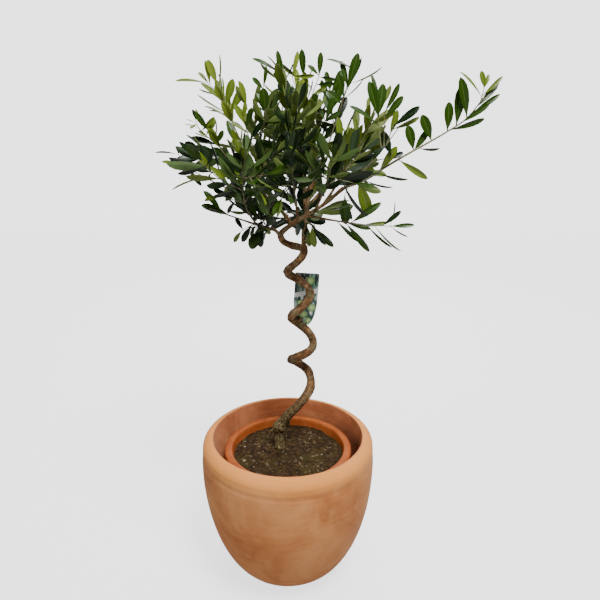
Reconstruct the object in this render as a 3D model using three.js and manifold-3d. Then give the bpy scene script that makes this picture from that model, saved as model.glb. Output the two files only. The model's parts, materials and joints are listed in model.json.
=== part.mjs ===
// Potted olive tree with a corkscrew stem, standing in a nursery pot inside a terracotta pot.
// Millimetres, +Z up, front towards -Y. The origin is the centre of the pot's flat underside.
import * as THREE from "three";
import { mergeVertices } from "three/addons/utils/BufferGeometryUtils.js";
import Module from "manifold-3d";

const wasm = await Module();
wasm.setup();

const clearance = 0.3; // between pieces that rest on or join each other
const sameCorner = 4e-3; // corners this near become one
const shortestEdge = 0.15; // kept on a joined solid
const up = new THREE.Vector3(0, 0, 1);

// Terracotta pot: an egg-shaped body with a thick wall and a lip that rolls outwards
const terracotta = {
  height: 290,
  footRadius: 58,
  bodyRadius: 164,
  shoulderHeight: 238,
  creaseRadius: 162,
  creaseHeight: 272,
  mouthRadius: 141.5,
  floorHeight: 28,
  floorRadius: 78,
  segments: 48,
};

// Nursery pot: thin plastic, standing on the terracotta pot's floor
const nursery = {
  top: 263.3,
  baseRadius: 74,
  mouthRadius: 108.8,
  lipRadius: 120.8,
  lipDrop: 3,
  lipDepth: 11,
  wall: 2.2,
  segments: 40,
};

const soilTop = 250;

// Corkscrew stem: the foot, then each bend in turn, right and left as seen from the front
const stem = {
  bends: [
    { across: -16.3, height: soilTop + clearance, depth: 0 },
    { across: -18.5, height: 286, depth: 0 },
    { across: 43.8, height: 388, depth: 19 },
    { across: 7.1, height: 434, depth: 19 },
    { across: 47.4, height: 468, depth: 19 },
    { across: 6.8, height: 518, depth: 19 },
    { across: 40.8, height: 564, depth: 19 },
    { across: -0.3, height: 603, depth: 19 },
    { across: 30.6, height: 640, depth: 0 },
  ],
  axisBack: 20,
  footBack: 16,
  forkHeight: 651,
  forkTurn: 0.3,
  forkSlope: 14,
  footRadius: 9,
  forkRadius: 6.7,
  flare: { swell: 2, height: 7 },
  knob: { swell: 1.8, height: 297, spread: 9 },
  stepsPerBend: 8,
  sides: 9,
};
const stubs = [
  { bend: 1.16, radius: 4.6, reach: 16, heading: 25, rise: 20 },
  { bend: 4.42, radius: 3.2, reach: 10, heading: 20, rise: 72 },
];

// Plant label: a card tied behind the third turn of the stem
const label = {
  width: 44,
  height: 104,
  thickness: 1,
  cornerRadius: 3,
  taperFrom: 52,
  tipRadius: 12,
  tilt: -4,
  centreAcross: 37,
  top: 594,
  holeRadius: 3,
  tieRadius: 0.7,
  tieSlack: 0.9,
  tieBend: 6.36,
};

// Limbs: each starts on its parent, runs through its way points to its tip, and is bare wood up to
// the share of its length called bare, where its foliage begins
const limbs = [
  {
    name: "leader",
    parent: "trunk",
    at: 1,
    way: [[30, 20, 690], [36, 22, 722], [41, 26, 775]],
    tip: [26, 34, 968],
    bare: 0.4,
    radius: [4.1, 2.6],
    seed: 11,
  },
  {
    name: "coil",
    parent: "trunk",
    at: 0.985,
    way: [[22, 32, 646], [9, 36, 648], [-6, 31, 656]],
    tip: [-12, 19, 671],
    bare: 1,
    radius: [5, 4.6],
  },
  {
    name: "right",
    parent: "coil",
    at: 1,
    way: [
      [-4, 7, 682], [14, 2, 696], [37, 0, 710], [69, -4, 732], [96, -4, 755],
      [131, 4, 767], [177, 10, 795], [243, 12, 832], [294, 10, 865],
    ],
    tip: [344, 10, 929],
    radius: [3.9, 2.8],
    seed: 12,
    foliage: { shootLength: 50, reach: 66, leafLength: 54, leafWidth: 17 },
  },
  {
    name: "front_left",
    parent: "coil",
    at: 0.97,
    way: [[-20, 8, 681], [-31, -4, 687], [-50, -25, 699], [-62, -52, 726], [-66, -72, 765]],
    tip: [-52, -112, 852],
    radius: [3.2, 2.3],
    seed: 13,
  },
  {
    name: "left",
    parent: "right",
    at: 0.085,
    way: [[-9, 18, 713], [-26, 24, 724], [-28, 30, 755], [-40, 20, 820]],
    tip: [-74, -20, 918],
    radius: [3.4, 2.6],
    seed: 64,
  },
  {
    name: "top_left", parent: "leader", at: 0.3, sag: 0.05,
    tip: [-12, -4, 966], radius: [2.4, 1.9], seed: 21,
  },
  {
    name: "top_right", parent: "leader", at: 0.34, sag: 0.1,
    tip: [112, 24, 963], radius: [2.4, 1.9], seed: 22,
  },
  {
    name: "back", parent: "leader", at: 0.2, sag: 0.14,
    tip: [24, 168, 872], radius: [2.6, 1.9], seed: 23,
  },
  {
    name: "back_right", parent: "leader", at: 0.26, sag: 0.12,
    tip: [136, 128, 852], radius: [2.6, 1.9], seed: 24,
  },
  {
    name: "back_left", parent: "left", at: 0.22, sag: 0.12,
    tip: [-106, 124, 850], radius: [2.5, 1.9], seed: 25,
  },
  {
    name: "back_low", parent: "leader", at: 0.1, sag: 0.02,
    tip: [46, 150, 742], radius: [2.4, 1.8], seed: 26,
  },
  {
    name: "right_high", parent: "right", at: 0.24, sag: 0.1,
    tip: [158, -22, 912], radius: [2.4, 1.9], seed: 81,
  },
  {
    name: "right_middle", parent: "right", at: 0.29, sag: 0.12,
    tip: [194, -62, 886], radius: [2.3, 1.8], seed: 32,
  },
  {
    name: "right_low",
    parent: "right",
    at: 0.16,
    sag: 0.05,
    tip: [206, -72, 704],
    radius: [2.3, 1.8],
    seed: 33,
    foliage: { shootLength: 62, leafLength: 52, leafWidth: 16 },
  },
  {
    name: "front_right", parent: "right", at: 0.2, sag: 0.12,
    tip: [76, -132, 842], radius: [2.4, 1.8], seed: 34,
  },
  {
    name: "front", parent: "right", at: 0.12, sag: 0.12,
    tip: [8, -142, 846], radius: [2.4, 1.8], seed: 35,
  },
  {
    name: "upper_left", parent: "left", at: 0.3, sag: 0.1,
    tip: [-126, 34, 954], radius: [2.3, 1.8], seed: 41,
  },
  {
    name: "left_high", parent: "left", at: 0.25, sag: 0.1,
    tip: [-144, -20, 880], radius: [2.3, 1.8], seed: 42,
  },
  {
    name: "left_far", parent: "left", at: 0.17, sag: 0.06,
    tip: [-206, 4, 814], radius: [2.3, 1.8], seed: 43,
  },
  {
    name: "left_low",
    parent: "front_left",
    at: 0.26,
    sag: 0.02,
    tip: [-158, -40, 742],
    radius: [2.1, 1.7],
    seed: 44,
    foliage: { shootLength: 44, leafLength: 48, leafWidth: 16 },
  },
  {
    name: "hanging_left",
    parent: "front_left",
    at: 0.14,
    sag: 0.04,
    tip: [-80, -34, 660],
    radius: [1.9, 1.6],
    seed: 45,
    foliage: { shootLength: 24, leafLength: 46, leafWidth: 17, nodeGap: 13, tipLeafShare: 0.6 },
  },
  {
    name: "hanging_right",
    parent: "leader",
    at: 0.16,
    sag: -0.3,
    tip: [62, 0, 660],
    radius: [1.9, 1.6],
    seed: 46,
    foliage: { shootLength: 24, leafLength: 44, leafWidth: 15, nodeGap: 13, tipLeafShare: 0.6 },
  },
];
const usualBare = 0.35;
const limbSides = 6;
const limbRingGap = 16;

// Foliage rule: pairs of leaves along a stem, each pair turned a quarter from the last, with side
// shoots in the lower nodes
const foliage = {
  reach: 95,
  ringGap: 38,
  shootShare: 0.86,
  firstShoot: 9,
  shootGap: 22,
  shootTurn: 137.5,
  shootLength: 84,
  shootAngle: 54,
  shootSway: 12,
  lift: 0.3,
  nodeGap: 23,
  firstLeaf: 15,
  stemLeavesFrom: 0.3,
  leafLength: 62,
  leafWidth: 21,
  leafThickness: 1.5,
  leafAngle: 44,
  leafSway: 14,
  tries: [[1, 1], [0.7, 1], [1.25, 0.9], [1, 0.75], [0.6, 0.75]], // shares of the angle and the size
  tipSpread: 17,
  tipInset: 2,
  baseSize: 1.05,
  tipSize: 0.8,
  tipLeafShare: 0.8,
  stemRadius: [1.7, 1],
  twigRadius: [1.3, 0.9],
  spaceMargin: 2.6,
  limbMargin: 2,
};

// Corners of a leaf: shares of its length, and of half its width
const leafRim = [[0.36, 1], [0.7, 0.85], [1, 0], [0.7, -0.85], [0.36, -1]];
const leafRidge = 0.25;
const leafStalk = 0.12; // where it is clear of its own twig

const twigSides = 3;
const seedSpacing = 1000; // between the seeds of two masses
const seedStep = 50; // to a mass's next seed

const colours = {
  terracotta: 0xc98a5c,
  nurseryPlastic: 0xa8552c,
  soil: 0x3c3123,
  bark: 0x6d5a3a,
  foliage: [0x3f5a2a, 0x4b6a31, 0x58743a],
  card: 0x9fb7a0,
  tie: 0x5a4a30,
};

const radians = THREE.MathUtils.degToRad;

// Numbers from 0 to 1, the same on every run for one seed
function generator(seed) {
  let state = seed >>> 0;
  return () => {
    state = (state + 0x6d2b79f5) >>> 0;
    let mixed = Math.imul(state ^ (state >>> 15), state | 1);
    mixed ^= mixed + Math.imul(mixed ^ (mixed >>> 7), mixed | 61);
    return ((mixed ^ (mixed >>> 14)) >>> 0) / 4294967296;
  };
}

function toSolid(geometry, tolerance = 1e-4) {
  const bare = geometry.clone();
  bare.deleteAttribute("normal");
  bare.deleteAttribute("uv");
  const merged = mergeVertices(bare, tolerance);
  return new wasm.Manifold(
    new wasm.Mesh({
      numProp: 3,
      vertProperties: merged.attributes.position.array,
      triVerts: new Uint32Array(merged.index.array),
    }),
  );
}

function toGeometry(solid) {
  const mesh = solid.getMesh();
  const geometry = new THREE.BufferGeometry();
  geometry.setAttribute("position", new THREE.BufferAttribute(mesh.vertProperties, 3));
  geometry.setIndex(new THREE.BufferAttribute(mesh.triVerts, 1));
  geometry.computeVertexNormals();
  return geometry;
}

function largestOf(bodies) {
  return bodies.reduce((best, body) => (body.volume() > best.volume() ? body : best));
}

// The one largest body, without the scraps and sealed hollows that joining can leave, and with
// edges too short to matter merged away
function largestBody(solid) {
  const trimmed = largestOf(solid.simplify(shortestEdge).decompose());
  return largestOf(toSolid(toGeometry(trimmed), sameCorner).decompose());
}

// Whether two sheets of a solid touch along an edge, which four faces then share
function isPinched(solid) {
  const { index } = mergeVertices(toGeometry(solid).deleteAttribute("normal"), sameCorner);
  const seen = new Set();
  for (let i = 0; i < index.count; i += 3) {
    const face = [index.getX(i), index.getX(i + 1), index.getX(i + 2)];
    if (new Set(face).size < 3) continue;
    for (let k = 0; k < 3; k += 1) {
      const edge = `${face[k]} ${face[(k + 1) % 3]}`;
      if (seen.has(edge)) return true;
      seen.add(edge);
    }
  }
  return false;
}

function indexedGeometry(vertices, faces) {
  const geometry = new THREE.BufferGeometry();
  const flat = vertices.flatMap((vertex) => vertex.toArray());
  geometry.setAttribute("position", new THREE.Float32BufferAttribute(flat, 3));
  geometry.setIndex(faces.flat());
  return geometry;
}

// A tube of the given radius at each point, flat at both ends, or joined into a ring. Its end faces
// are square to the ends' directions where those are given
function sweep(points, radii, sides, { ring = false, ends = [] } = {}) {
  const count = points.length;
  const vertices = [];
  let side = null;
  points.forEach((point, i) => {
    const before = points[ring ? (i + count - 1) % count : Math.max(i - 1, 0)];
    const after = points[ring ? (i + 1) % count : Math.min(i + 1, count - 1)];
    const end = (i === 0 && ends[0]) || (i === count - 1 && ends[1]);
    const along = end || after.clone().sub(before).normalize();
    side ??= Math.abs(along.z) > 0.9 ? new THREE.Vector3(1, 0, 0) : up.clone();
    side = side.clone().addScaledVector(along, -side.dot(along)).normalize();
    const across = along.clone().cross(side);
    for (let k = 0; k < sides; k += 1) {
      const angle = (2 * Math.PI * k) / sides;
      vertices.push(
        point
          .clone()
          .addScaledVector(side, radii[i] * Math.cos(angle))
          .addScaledVector(across, radii[i] * Math.sin(angle)),
      );
    }
  });
  const faces = [];
  for (let i = 0; i < (ring ? count : count - 1); i += 1) {
    const low = i * sides;
    const high = ((i + 1) % count) * sides;
    for (let k = 0; k < sides; k += 1) {
      const next = (k + 1) % sides;
      faces.push([low + k, low + next, high + k], [low + next, high + next, high + k]);
    }
  }
  if (!ring) {
    const last = (count - 1) * sides;
    for (let k = 1; k < sides - 1; k += 1) {
      faces.push([0, k + 1, k], [last, last + k, last + k + 1]);
    }
  }
  return indexedGeometry(vertices, faces);
}

function pointsAlong(curve, from, to, gap) {
  const share = to - from;
  const steps = Math.max(2, Math.round((share * curve.getLength()) / gap));
  return Array.from({ length: steps + 1 }, (_, i) => curve.getPointAt(from + (share * i) / steps));
}

function taper(count, [first, last]) {
  return Array.from({ length: count }, (_, i) => first + ((last - first) * i) / (count - 1));
}

function direction(heading, rise) {
  const level = Math.cos(radians(rise));
  return new THREE.Vector3(
    level * Math.cos(radians(heading)),
    level * Math.sin(radians(heading)),
    Math.sin(radians(rise)),
  );
}

// Radius of a bowl-shaped wall: a quarter ellipse from its foot out to its shoulder
function bowlRadius(height, foot, footRadius, shoulder, shoulderRadius) {
  const share = Math.min((height - foot) / (shoulder - foot), 1);
  return footRadius + (shoulderRadius - footRadius) * Math.sqrt(1 - (1 - share) ** 2);
}

function turned(profile, segments) {
  const outline = profile.map(([radius, height]) => new THREE.Vector2(radius, height));
  const lathe = new THREE.LatheGeometry(outline, segments);
  lathe.rotateX(Math.PI / 2);
  return toGeometry(toSolid(lathe));
}

function terracottaGeometry() {
  const { height, footRadius, bodyRadius, shoulderHeight, creaseRadius, creaseHeight } = terracotta;
  const { mouthRadius, floorHeight, floorRadius, segments } = terracotta;
  const profile = [[0, 0]];
  const bodySteps = 8;
  for (let i = 0; i <= bodySteps; i += 1) {
    const z = shoulderHeight * (1 - Math.cos((Math.PI / 2) * (i / bodySteps)));
    profile.push([bowlRadius(z, 0, footRadius, shoulderHeight, bodyRadius), z]);
  }
  const lipSteps = 4;
  for (let i = lipSteps; i >= 0; i -= 1) {
    const angle = (Math.PI / 2) * (i / lipSteps);
    const out = mouthRadius + (creaseRadius - mouthRadius) * Math.sin(angle);
    profile.push([out, creaseHeight + (height - creaseHeight) * Math.cos(angle)]);
  }
  const innerSteps = 4;
  for (let i = innerSteps; i >= 0; i -= 1) {
    const rise = 1 - Math.cos((Math.PI / 2) * (i / innerSteps));
    const z = floorHeight + (shoulderHeight - floorHeight) * rise;
    profile.push([bowlRadius(z, floorHeight, floorRadius, shoulderHeight, mouthRadius), z]);
  }
  profile.push([0, floorHeight]);
  return turned(profile, segments);
}

const nurseryFloor = terracotta.floorHeight + clearance + nursery.wall;

// Inside radius of the nursery pot at a height
function nurseryInside(height) {
  const share = (height - nurseryFloor) / (nursery.top - nurseryFloor);
  const base = nursery.baseRadius - nursery.wall;
  return base + (nursery.mouthRadius - nursery.wall - base) * share;
}

function nurseryGeometry() {
  const { top, baseRadius, mouthRadius, lipRadius, lipDrop, lipDepth, wall, segments } = nursery;
  const foot = nurseryFloor - wall;
  const bevel = 3;
  return turned(
    [
      [0, foot],
      [baseRadius - bevel, foot],
      [baseRadius, foot + bevel],
      [mouthRadius - 1, top - lipDrop - wall],
      [lipRadius - wall, top - lipDrop - wall],
      [lipRadius - wall, top - lipDepth],
      [lipRadius, top - lipDepth],
      [lipRadius, top - lipDrop],
      [lipRadius - 3, top - 1],
      [mouthRadius + 2, top],
      [mouthRadius - 1.5, top - 1],
      [nurseryInside(top - lipDrop - wall), top - lipDrop - wall],
      [nurseryInside(nurseryFloor), nurseryFloor],
      [0, nurseryFloor],
    ],
    segments,
  );
}

function soilGeometry() {
  const foot = nurseryFloor + clearance;
  return turned(
    [
      [0, foot],
      [nurseryInside(foot) - clearance, foot],
      [nurseryInside(soilTop) - clearance, soilTop],
      [0, soilTop],
    ],
    nursery.segments,
  );
}

const stemTurns = stem.bends.length - 1 + stem.forkTurn;

// Centre line of the corkscrew: whole numbers are its bends, and it rises from left to right in
// front of its axis and from right to left behind it
class CorkscrewCurve extends THREE.Curve {
  getPoint(share, target = new THREE.Vector3()) {
    const { bends, axisBack, footBack, forkHeight, forkTurn, forkSlope } = stem;
    const last = bends.length - 1;
    const turn = share * stemTurns;
    const i = Math.min(Math.floor(turn), last);
    const low = bends[i];
    if (i === last) {
      const rest = (turn - last) / forkTurn;
      return target.set(low.across - rest, axisBack, low.height + (forkHeight - low.height) * rest);
    }
    const high = bends[i + 1];
    const u = turn - i;
    const slope = (k) => {
      if (k === 0) return high.height - low.height;
      const above = k === last ? forkHeight + forkSlope : bends[k + 1].height;
      return (above - bends[k - 1].height) / 2;
    };
    const z =
      low.height * (2 * u ** 3 - 3 * u ** 2 + 1) +
      slope(i) * (u ** 3 - 2 * u ** 2 + u) +
      high.height * (3 * u ** 2 - 2 * u ** 3) +
      slope(i + 1) * (u ** 3 - u ** 2);
    const x = low.across + ((high.across - low.across) * (1 - Math.cos(Math.PI * u))) / 2;
    const sway = (low.depth + (high.depth - low.depth) * u) * Math.sin(Math.PI * u);
    const back = i === 0 ? footBack + (axisBack - footBack) * u : axisBack;
    return target.set(x, i % 2 === 1 ? back - sway : back + sway, z);
  }
}

const stemCurve = new CorkscrewCurve();

function stemRadius(height) {
  const share = THREE.MathUtils.clamp((height - soilTop) / (stem.forkHeight - soilTop), 0, 1);
  const taperPart = stem.forkRadius + (stem.footRadius - stem.forkRadius) * (1 - share) ** 1.5;
  const flare = stem.flare.swell * Math.exp(-(height - soilTop) / stem.flare.height);
  const knob = stem.knob.swell * Math.exp(-(((height - stem.knob.height) / stem.knob.spread) ** 2));
  return taperPart + flare + knob;
}

function stemPoints() {
  const steps = Math.round(stemTurns * stem.stepsPerBend);
  const points = Array.from({ length: steps + 1 }, (_, i) => stemCurve.getPoint(i / steps));
  const foot = points[0].clone();
  foot.z += 2;
  points.splice(1, 0, foot);
  return points;
}

function trunkSolid(swell = 0) {
  const points = stemPoints();
  const radii = points.map((point) => stemRadius(point.z) + swell);
  let body = toSolid(sweep(points, radii, stem.sides));
  for (const stub of stubs) {
    const start = stemCurve.getPoint(stub.bend / stemTurns);
    const end = start.clone().addScaledVector(direction(stub.heading, stub.rise), stub.reach + swell);
    const radius = stub.radius + swell;
    body = body.add(toSolid(sweep([start, end], [radius, radius * 0.9], 7)));
  }
  return body;
}

// Centre line of a limb from its parent to its furthest tip
function limbCurve(limb, start) {
  const tip = new THREE.Vector3(...limb.tip);
  if (limb.way) {
    const way = limb.way.map((point) => new THREE.Vector3(...point));
    const end = limb.bare === 1 ? tip : shortOfTip(limb, way.at(-1), tip);
    return new THREE.CatmullRomCurve3([start, ...way, end], false, "centripetal");
  }
  const bend = start.clone().lerp(tip, 0.5);
  bend.z -= limb.sag * start.distanceTo(tip);
  return new THREE.QuadraticBezierCurve3(start, bend, shortOfTip(limb, bend, tip));
}

// The end of the wood, one tip leaf short of the foliage's furthest point
function shortOfTip(limb, before, tip) {
  const { tipLeafShare, leafLength } = { ...foliage, ...limb.foliage };
  const back = before.clone().sub(tip).normalize();
  return tip.clone().addScaledVector(back, tipLeafShare * leafLength);
}

const builtTrunk = { curve: stemCurve, solid: trunkSolid(), grown: trunkSolid(clearance) };
const builtLimbs = new Map([["trunk", builtTrunk]]);
for (const limb of limbs) {
  const parent = builtLimbs.get(limb.parent);
  const curve = limbCurve(limb, parent.curve.getPointAt(limb.at));
  const bare = limb.bare ?? usualBare;
  const points = pointsAlong(curve, 0, bare, limbRingGap);
  const radii = taper(points.length, limb.radius);
  const grownRadii = radii.map((radius) => radius + clearance);
  const ahead = curve.getTangentAt(bare);
  const ends = [undefined, ahead];
  let solid = toSolid(sweep(points, radii, limbSides, { ends }));
  for (const other of builtLimbs.values()) solid = solid.subtract(other.grown);
  const grownPoints = [...points];
  grownPoints[points.length - 1] = points.at(-1).clone().addScaledVector(ahead, clearance);
  builtLimbs.set(limb.name, {
    curve,
    points,
    radii,
    solid: largestBody(solid),
    grown: toSolid(sweep(grownPoints, grownRadii, limbSides, { ends })),
  });
}

// Foliage masses: each has its own space, nearer to its own stem than to any other's
const masses = limbs
  .filter((limb) => limb.bare !== 1)
  .map((limb) => {
    const { curve } = builtLimbs.get(limb.name);
    const bare = limb.bare ?? usualBare;
    const from = bare + clearance / curve.getLength();
    return {
      name: limb.name,
      seed: limb.seed,
      rule: { ...foliage, ...limb.foliage },
      stem: pointsAlong(curve, from, 1, foliage.ringGap),
      start: curve.getTangentAt(bare),
    };
  });

function distanceToLine(point, line) {
  let nearest = Infinity;
  const segment = new THREE.Line3();
  const foot = new THREE.Vector3();
  for (let i = 1; i < line.length; i += 1) {
    segment.set(line[i - 1], line[i]).closestPointToPoint(point, true, foot);
    nearest = Math.min(nearest, foot.distanceTo(point));
  }
  return nearest;
}

const limbLines = [...builtLimbs].map(([name, limb]) =>
  name === "trunk"
    ? { points: stemPoints(), radius: stem.footRadius }
    : { points: limb.points, radius: Math.max(...limb.radii) },
);

function isFree(point, mass) {
  const own = distanceToLine(point, mass.stem);
  if (own > mass.rule.reach) return false;
  const { spaceMargin, limbMargin } = mass.rule;
  return (
    masses.every((other) => other === mass || distanceToLine(point, other.stem) > own + spaceMargin) &&
    limbLines.every((line) => distanceToLine(point, line.points) > line.radius + limbMargin)
  );
}

// A flat narrow leaf: six corners round its edge, and a ridge point over its base half
function leafGeometry(base, along, flat, length, width, thickness) {
  const across = along.clone().cross(flat).normalize();
  const corner = (reach, side, lift) =>
    base
      .clone()
      .addScaledVector(along, reach * length)
      .addScaledVector(across, (side * width) / 2)
      .addScaledVector(flat, lift);
  const rim = leafRim.map(([reach, side]) => corner(reach, side, 0));
  const vertices = [base, ...rim, corner(leafRidge, 0, thickness)];
  const top = [0, 1, 2, 3, 4, 5].map((k) => [6, k, (k + 1) % 6]);
  const under = [[0, 5, 1], [1, 5, 4], [1, 4, 2], [2, 4, 3]];
  return indexedGeometry(vertices, [...top, ...under]);
}

// Directions round a stem: the one nearest to straight up, and the one a quarter turn from it
function aroundStem(along, angle) {
  const level = Math.abs(along.z) > 0.95 ? new THREE.Vector3(1, 0, 0) : up.clone();
  const first = level.addScaledVector(along, -level.dot(along)).normalize();
  const second = along.clone().cross(first);
  return first.multiplyScalar(Math.cos(angle)).addScaledVector(second, Math.sin(angle));
}

// A direction turned from one towards another, at right angles to it, by an angle
function leaning(along, outwards, angle) {
  return along.clone().multiplyScalar(Math.cos(angle)).addScaledVector(outwards, Math.sin(angle));
}

// Whether a straight line from one point to another passes through a fan of triangles
function pierces(from, to, fan) {
  const ray = new THREE.Ray(from, to.clone().sub(from).normalize());
  const reach = from.distanceTo(to);
  const hit = new THREE.Vector3();
  for (let i = 1; i < fan.length - 1; i += 1) {
    const isHit = ray.intersectTriangle(fan[0], fan[i], fan[i + 1], false, hit);
    if (isHit && hit.distanceTo(from) < reach) return true;
  }
  return false;
}

function edgesPierce(outline, fan) {
  return outline.some((corner, i) => pierces(corner, outline[(i + 1) % outline.length], fan));
}

function isPierced(outline, twig) {
  return twig.some((point, i) => i > 0 && pierces(twig[i - 1], point, outline));
}

// Whether a leaf crosses one of the leaves or twigs that its mass already has
function isCrossing(outline, grown, ownTwig) {
  return (
    grown.outlines.some((other) => edgesPierce(outline, other) || edgesPierce(other, outline)) ||
    grown.twigs.some((twig) => twig !== ownTwig && isPierced(outline, twig))
  );
}

// A leaf that stays in its mass's space, folded or shortened if it has to be, or nothing
function addLeaf(mass, grown, twig, node, along, angle, spread, size) {
  const { leafLength, leafWidth, leafThickness, tries } = mass.rule;
  const outwards = aroundStem(along, angle);
  const across = along.clone().cross(outwards);
  for (const [fold, shrink] of tries) {
    const lean = radians(spread * fold);
    const towards = leaning(along, outwards, lean);
    const flat = across.clone().cross(towards).normalize();
    const length = leafLength * size * shrink;
    const width = leafWidth * size * shrink;
    const at = (reach, side) =>
      node.clone().addScaledVector(towards, reach * length).addScaledVector(across, (side * width) / 2);
    const outline = [at(leafStalk, 0), ...leafRim.map(([reach, side]) => at(reach, side))];
    if (outline.every((corner) => isFree(corner, mass)) && !isCrossing(outline, grown, twig)) {
      grown.outlines.push(outline);
      grown.pieces.push(leafGeometry(node, towards, flat, length, width, leafThickness));
      return;
    }
  }
}

// The point and direction at a distance along a line
function alongLine(points, distance) {
  let rest = distance;
  let i = 1;
  while (i < points.length - 1 && rest > points[i].distanceTo(points[i - 1])) {
    rest -= points[i].distanceTo(points[i - 1]);
    i += 1;
  }
  const along = points[i].clone().sub(points[i - 1]).normalize();
  return { point: points[i - 1].clone().addScaledVector(along, rest), along };
}

function lineLength(points) {
  return points.slice(1).reduce((sum, point, i) => sum + point.distanceTo(points[i]), 0);
}

// Pairs of leaves from a distance along a twig to its tip, each pair a quarter turn from the last
function addLeaves(mass, grown, points, first, random) {
  const { nodeGap, leafAngle, leafSway, tipSpread, tipSize, baseSize, tipInset } = mass.rule;
  const length = lineLength(points);
  const phase = random() * Math.PI;
  const pairs = Math.max(1, Math.round((length - first) / nodeGap));
  for (let i = 0; i <= pairs; i += 1) {
    const atTip = i === pairs;
    const distance = atTip ? length - tipInset : first + i * nodeGap;
    const { point, along } = alongLine(points, distance);
    const size = baseSize + ((tipSize - baseSize) * distance) / length;
    for (const half of [0, Math.PI]) {
      const spread = atTip ? tipSpread : leafAngle + leafSway * (random() - 0.5);
      const angle = phase + half + (i % 2) * (Math.PI / 2);
      addLeaf(mass, grown, points, point, along, angle, spread, size * (0.9 + 0.2 * random()));
    }
  }
}

// A side shoot that turns upwards as it grows, and stops at the edge of its mass's space
function shootPoints(mass, start, along, angle, length, lean) {
  const heading = leaning(along, aroundStem(along, angle), lean);
  const points = [start];
  const steps = Math.max(1, Math.round(length / mass.rule.ringGap));
  for (let i = 0; i < steps; i += 1) {
    const next = points.at(-1).clone().addScaledVector(heading, length / steps);
    if (!isFree(next, mass)) break;
    points.push(next);
    heading.addScaledVector(up, mass.rule.lift).normalize();
  }
  return points;
}

// The stem and its side shoots first, then the leaves of each
function grownMass(mass, seed) {
  const { rule, stem: line } = mass;
  const length = lineLength(line);
  const grown = { pieces: [], outlines: [], twigs: [line] };
  const stemRadii = taper(line.length, rule.stemRadius);
  grown.pieces.push(sweep(line, stemRadii, twigSides, { ends: [mass.start] }));
  const shoots = Math.floor((length * rule.shootShare) / rule.shootGap);
  const leafy = [];
  for (let i = 0; i < shoots; i += 1) {
    const random = generator(seed * seedSpacing + i);
    const distance = rule.firstShoot + i * rule.shootGap;
    const { point, along } = alongLine(line, distance);
    const angle = seed + i * radians(rule.shootTurn) + 0.5 * random();
    const reach = rule.shootLength * (1.1 - (0.5 * distance) / length) * (0.85 + 0.3 * random());
    const lean = radians(rule.shootAngle + rule.shootSway * (random() - 0.5));
    const points = shootPoints(mass, point, along, angle, reach, lean);
    if (points.length < 2) continue;
    grown.pieces.push(sweep(points, taper(points.length, rule.twigRadius), twigSides));
    grown.twigs.push(points);
    leafy.push({ points, random });
  }
  for (const { points, random } of leafy) addLeaves(mass, grown, points, rule.firstLeaf, random);
  addLeaves(mass, grown, line, length * rule.stemLeavesFrom, generator(seed));
  return largestBody(wasm.Manifold.union(grown.pieces.map((piece) => toSolid(piece))));
}

// A mass is grown from its own seed, or from the first one after it that gives a sound solid
function massSolid(mass) {
  let seed = mass.seed;
  let solid = grownMass(mass, seed);
  while (isPinched(solid)) {
    seed += seedStep;
    solid = grownMass(mass, seed);
  }
  return solid;
}

// Card in its own upright plane, its top edge at zero height
function labelCard(holes) {
  const { width, height, cornerRadius, taperFrom, tipRadius, thickness, holeRadius } = label;
  const half = width / 2;
  const outline = new THREE.Shape();
  outline.moveTo(-half, -taperFrom);
  outline.lineTo(-half, -cornerRadius);
  outline.quadraticCurveTo(-half, 0, cornerRadius - half, 0);
  outline.lineTo(half - cornerRadius, 0);
  outline.quadraticCurveTo(half, 0, half, -cornerRadius);
  outline.lineTo(half, -taperFrom);
  outline.quadraticCurveTo(half * 0.9, tipRadius - height, 4, -height);
  outline.quadraticCurveTo(-half * 0.55, tipRadius - height, -half, -taperFrom);
  const holeSides = 10;
  for (const hole of holes) {
    const rim = Array.from({ length: holeSides }, (_, i) => {
      const angle = (2 * Math.PI * i) / holeSides;
      const around = new THREE.Vector2(Math.cos(angle), Math.sin(angle));
      return around.multiplyScalar(holeRadius).add(hole);
    });
    outline.holes.push(new THREE.Path(rim));
  }
  const settings = { depth: thickness, bevelEnabled: false, curveSegments: 5 };
  return new THREE.ExtrudeGeometry(outline, settings).rotateX(Math.PI / 2);
}

const group = new THREE.Group();

function addMesh(name, geometry, color, roughness) {
  const material = new THREE.MeshStandardMaterial({ color, roughness, metalness: 0 });
  const mesh = new THREE.Mesh(geometry, material);
  mesh.name = name;
  group.add(mesh);
  return mesh;
}

addMesh("terracotta_pot", terracottaGeometry(), colours.terracotta, 0.9);
addMesh("nursery_pot", nurseryGeometry(), colours.nurseryPlastic, 0.6);
addMesh("potting_soil", soilGeometry(), colours.soil, 1);

for (const [name, limb] of builtLimbs) {
  addMesh(name === "trunk" ? name : `${name}_bough`, toGeometry(limb.solid), colours.bark, 0.85);
}

masses.forEach((mass, i) => {
  const tint = colours.foliage[i % colours.foliage.length];
  addMesh(`${mass.name}_foliage`, toGeometry(massSolid(mass)), tint, 0.5);
});

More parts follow.
